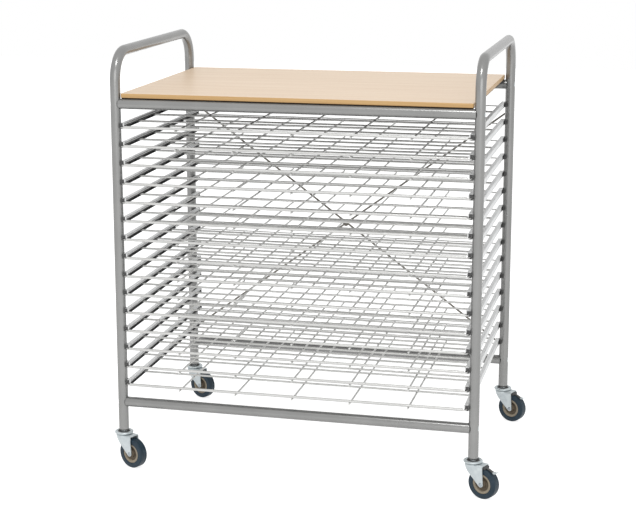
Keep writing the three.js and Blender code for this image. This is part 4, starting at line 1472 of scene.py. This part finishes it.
@dataclass(frozen=True)
class Studio:
    """Floor, light and camera."""

    camera_place: tuple[float, float, float] = (926.6, -3952.4, 1440.1)
    yaw: float = 14.70
    pitch: float = 12.01
    roll: float = -0.30
    focal_pixels: float = 1604.3
    image_width: float = 636.0
    sensor: float = 36.0
    shift: Pair = (0.06, -0.05)
    floor_half: float = 9.0
    floor_glow: float = 0.75
    ambient: float = 0.8
    key_power: float = 0.7
    lamp_spread: float = 50.0
    box_power: float = 32.0
    box_size: float = 0.7

    def build(self) -> None:
        """Set up everything round the rack."""
        self._add_floor()
        self._light_world()
        key = bpy.data.lights.new("key_lamp", "SUN")
        key.energy = self.key_power
        key.angle = math.radians(self.lamp_spread)
        self._hang(key, (1.2, -3.4, 1.3))
        box = bpy.data.lights.new("soft_box", "AREA")
        box.energy = self.box_power
        box.size = self.box_size
        self._hang(box, (0.3, -1.9, 3.9))
        self._add_camera()
        bpy.context.scene.view_settings.view_transform = "Standard"

    def _add_floor(self) -> None:
        """Add a plain pale floor that keeps soft shadows."""
        half = self.floor_half
        mesh = bpy.data.meshes.new("studio_floor")
        mesh.from_pydata([(-half, -half, 0), (half, -half, 0), (half, half, 0), (-half, half, 0)],
                         [], [(0, 1, 2, 3)])
        floor = bpy.data.objects.new("studio_floor", mesh)
        bpy.context.scene.collection.objects.link(floor)
        material, shader, place = start_material("pale_floor")
        tree = material.node_tree
        cloud = add_node(tree, "ShaderNodeGroup", node_tree=EFFECTS.cloud)
        tree.links.new(place, cloud.inputs["Vector"])
        cloud.inputs["Scale"].default_value = 2.0
        cloud.inputs["Base"].default_value = linear((212, 212, 212))
        cloud.inputs["Drift"].default_value = linear((208, 208, 208))
        tree.links.new(cloud.outputs["Colour"], shader.inputs["Base Color"])
        shader.inputs["Roughness"].default_value = 0.9
        shader.inputs["Specular IOR Level"].default_value = 0.0
        shader.inputs["Emission Color"].default_value = (1.0, 1.0, 1.0, 1.0)
        glow = add_node(tree, "ShaderNodeMath", {
            0: self._seen(tree), 1: self.floor_glow}, operation="MULTIPLY")
        tree.links.new(glow.outputs["Value"], shader.inputs["Emission Strength"])
        mesh.materials.append(material)

    def _light_world(self) -> None:
        """Make the surroundings white to the eye and softer as a light."""
        world = bpy.data.worlds.new("studio_world")
        bpy.context.scene.world = world
        world.use_nodes = True
        tree = world.node_tree
        soft = tree.nodes["Background"]
        soft.inputs["Color"].default_value = (1.0, 1.0, 1.0, 1.0)
        soft.inputs["Strength"].default_value = self.ambient
        white = add_node(tree, "ShaderNodeBackground", {
            "Color": (1.0, 1.0, 1.0, 1.0), "Strength": 1.0})
        mix = add_node(tree, "ShaderNodeMixShader", {
            0: self._seen(tree), 1: soft.outputs["Background"], 2: white.outputs["Background"]})
        tree.links.new(mix.outputs["Shader"], tree.nodes["World Output"].inputs["Surface"])

    @staticmethod
    def _seen(tree: bpy.types.NodeTree) -> bpy.types.NodeSocket:
        """Give one for rays of the eye and of mirror images, else zero."""
        path = add_node(tree, "ShaderNodeLightPath")
        first = add_node(tree, "ShaderNodeMath", {
            0: path.outputs["Is Camera Ray"], 1: path.outputs["Is Glossy Ray"]},
            operation="MAXIMUM")
        seen = add_node(tree, "ShaderNodeMath", {
            0: first.outputs["Value"], 1: path.outputs["Is Transmission Ray"]},
            operation="MAXIMUM")
        return seen.outputs["Value"]

    @staticmethod
    def _hang(lamp: bpy.types.Light, place: tuple[float, float, float]) -> None:
        """Hang a lamp so that it looks at the middle of the rack.

        Args:
            lamp: The lamp.
            place: Where it hangs, in metres.
        """
        holder = bpy.data.objects.new(lamp.name, lamp)
        holder.location = place
        look = Vector((0, 0, 0.55)) - Vector(place)
        holder.rotation_euler = look.to_track_quat("-Z", "Y").to_euler()
        bpy.context.scene.collection.objects.link(holder)

    def _add_camera(self) -> None:
        """Add the camera of the photograph."""
        yaw, pitch, roll = (math.radians(a) for a in (self.yaw, self.pitch, self.roll))
        ahead = Vector((-math.sin(yaw) * math.cos(pitch), math.cos(yaw) * math.cos(pitch),
                        -math.sin(pitch)))
        right = Vector((math.cos(yaw), math.sin(yaw), 0))
        up = right.cross(ahead)
        tilted_right = math.cos(roll) * right + math.sin(roll) * up
        tilted_up = math.cos(roll) * up - math.sin(roll) * right
        turn = Matrix((tilted_right, tilted_up, -ahead)).transposed().to_4x4()
        camera = bpy.data.cameras.new("photo_camera")
        camera.sensor_width = self.sensor
        camera.lens = self.focal_pixels * self.sensor / self.image_width
        camera.shift_x, camera.shift_y = self.shift
        holder = bpy.data.objects.new("photo_camera", camera)
        holder.matrix_world = Matrix.Translation(Vector(self.camera_place) * MM) @ turn
        bpy.context.scene.collection.objects.link(holder)
        bpy.context.scene.camera = holder


def main() -> None:
    """Build the rack and the studio."""
    logging.basicConfig(level=logging.INFO, format="%(message)s")
    levels = {"top": 926.0, "bottom": 168.0}
    assemblies: list[SubAssembly] = [SideHoop(side) for side in Side]
    assemblies += [CrossRail(end, level, height) for end in End
                   for level, height in levels.items()]
    assemblies.append(BoardTop())
    assemblies += [RunnerBank(side) for side in Side]
    assemblies += [WireShelves(), BackBrace()]
    assemblies += [Castor(side, end) for side in Side for end in End]
    for assembly in assemblies:
        assembly.build()
        for piece in assembly.pieces:
            LOG.info("%s: %s, %d faces", type(assembly).__name__, piece.name,
                     len(piece.data.polygons))
    Studio().build()


if __name__ == "__main__":
    main()
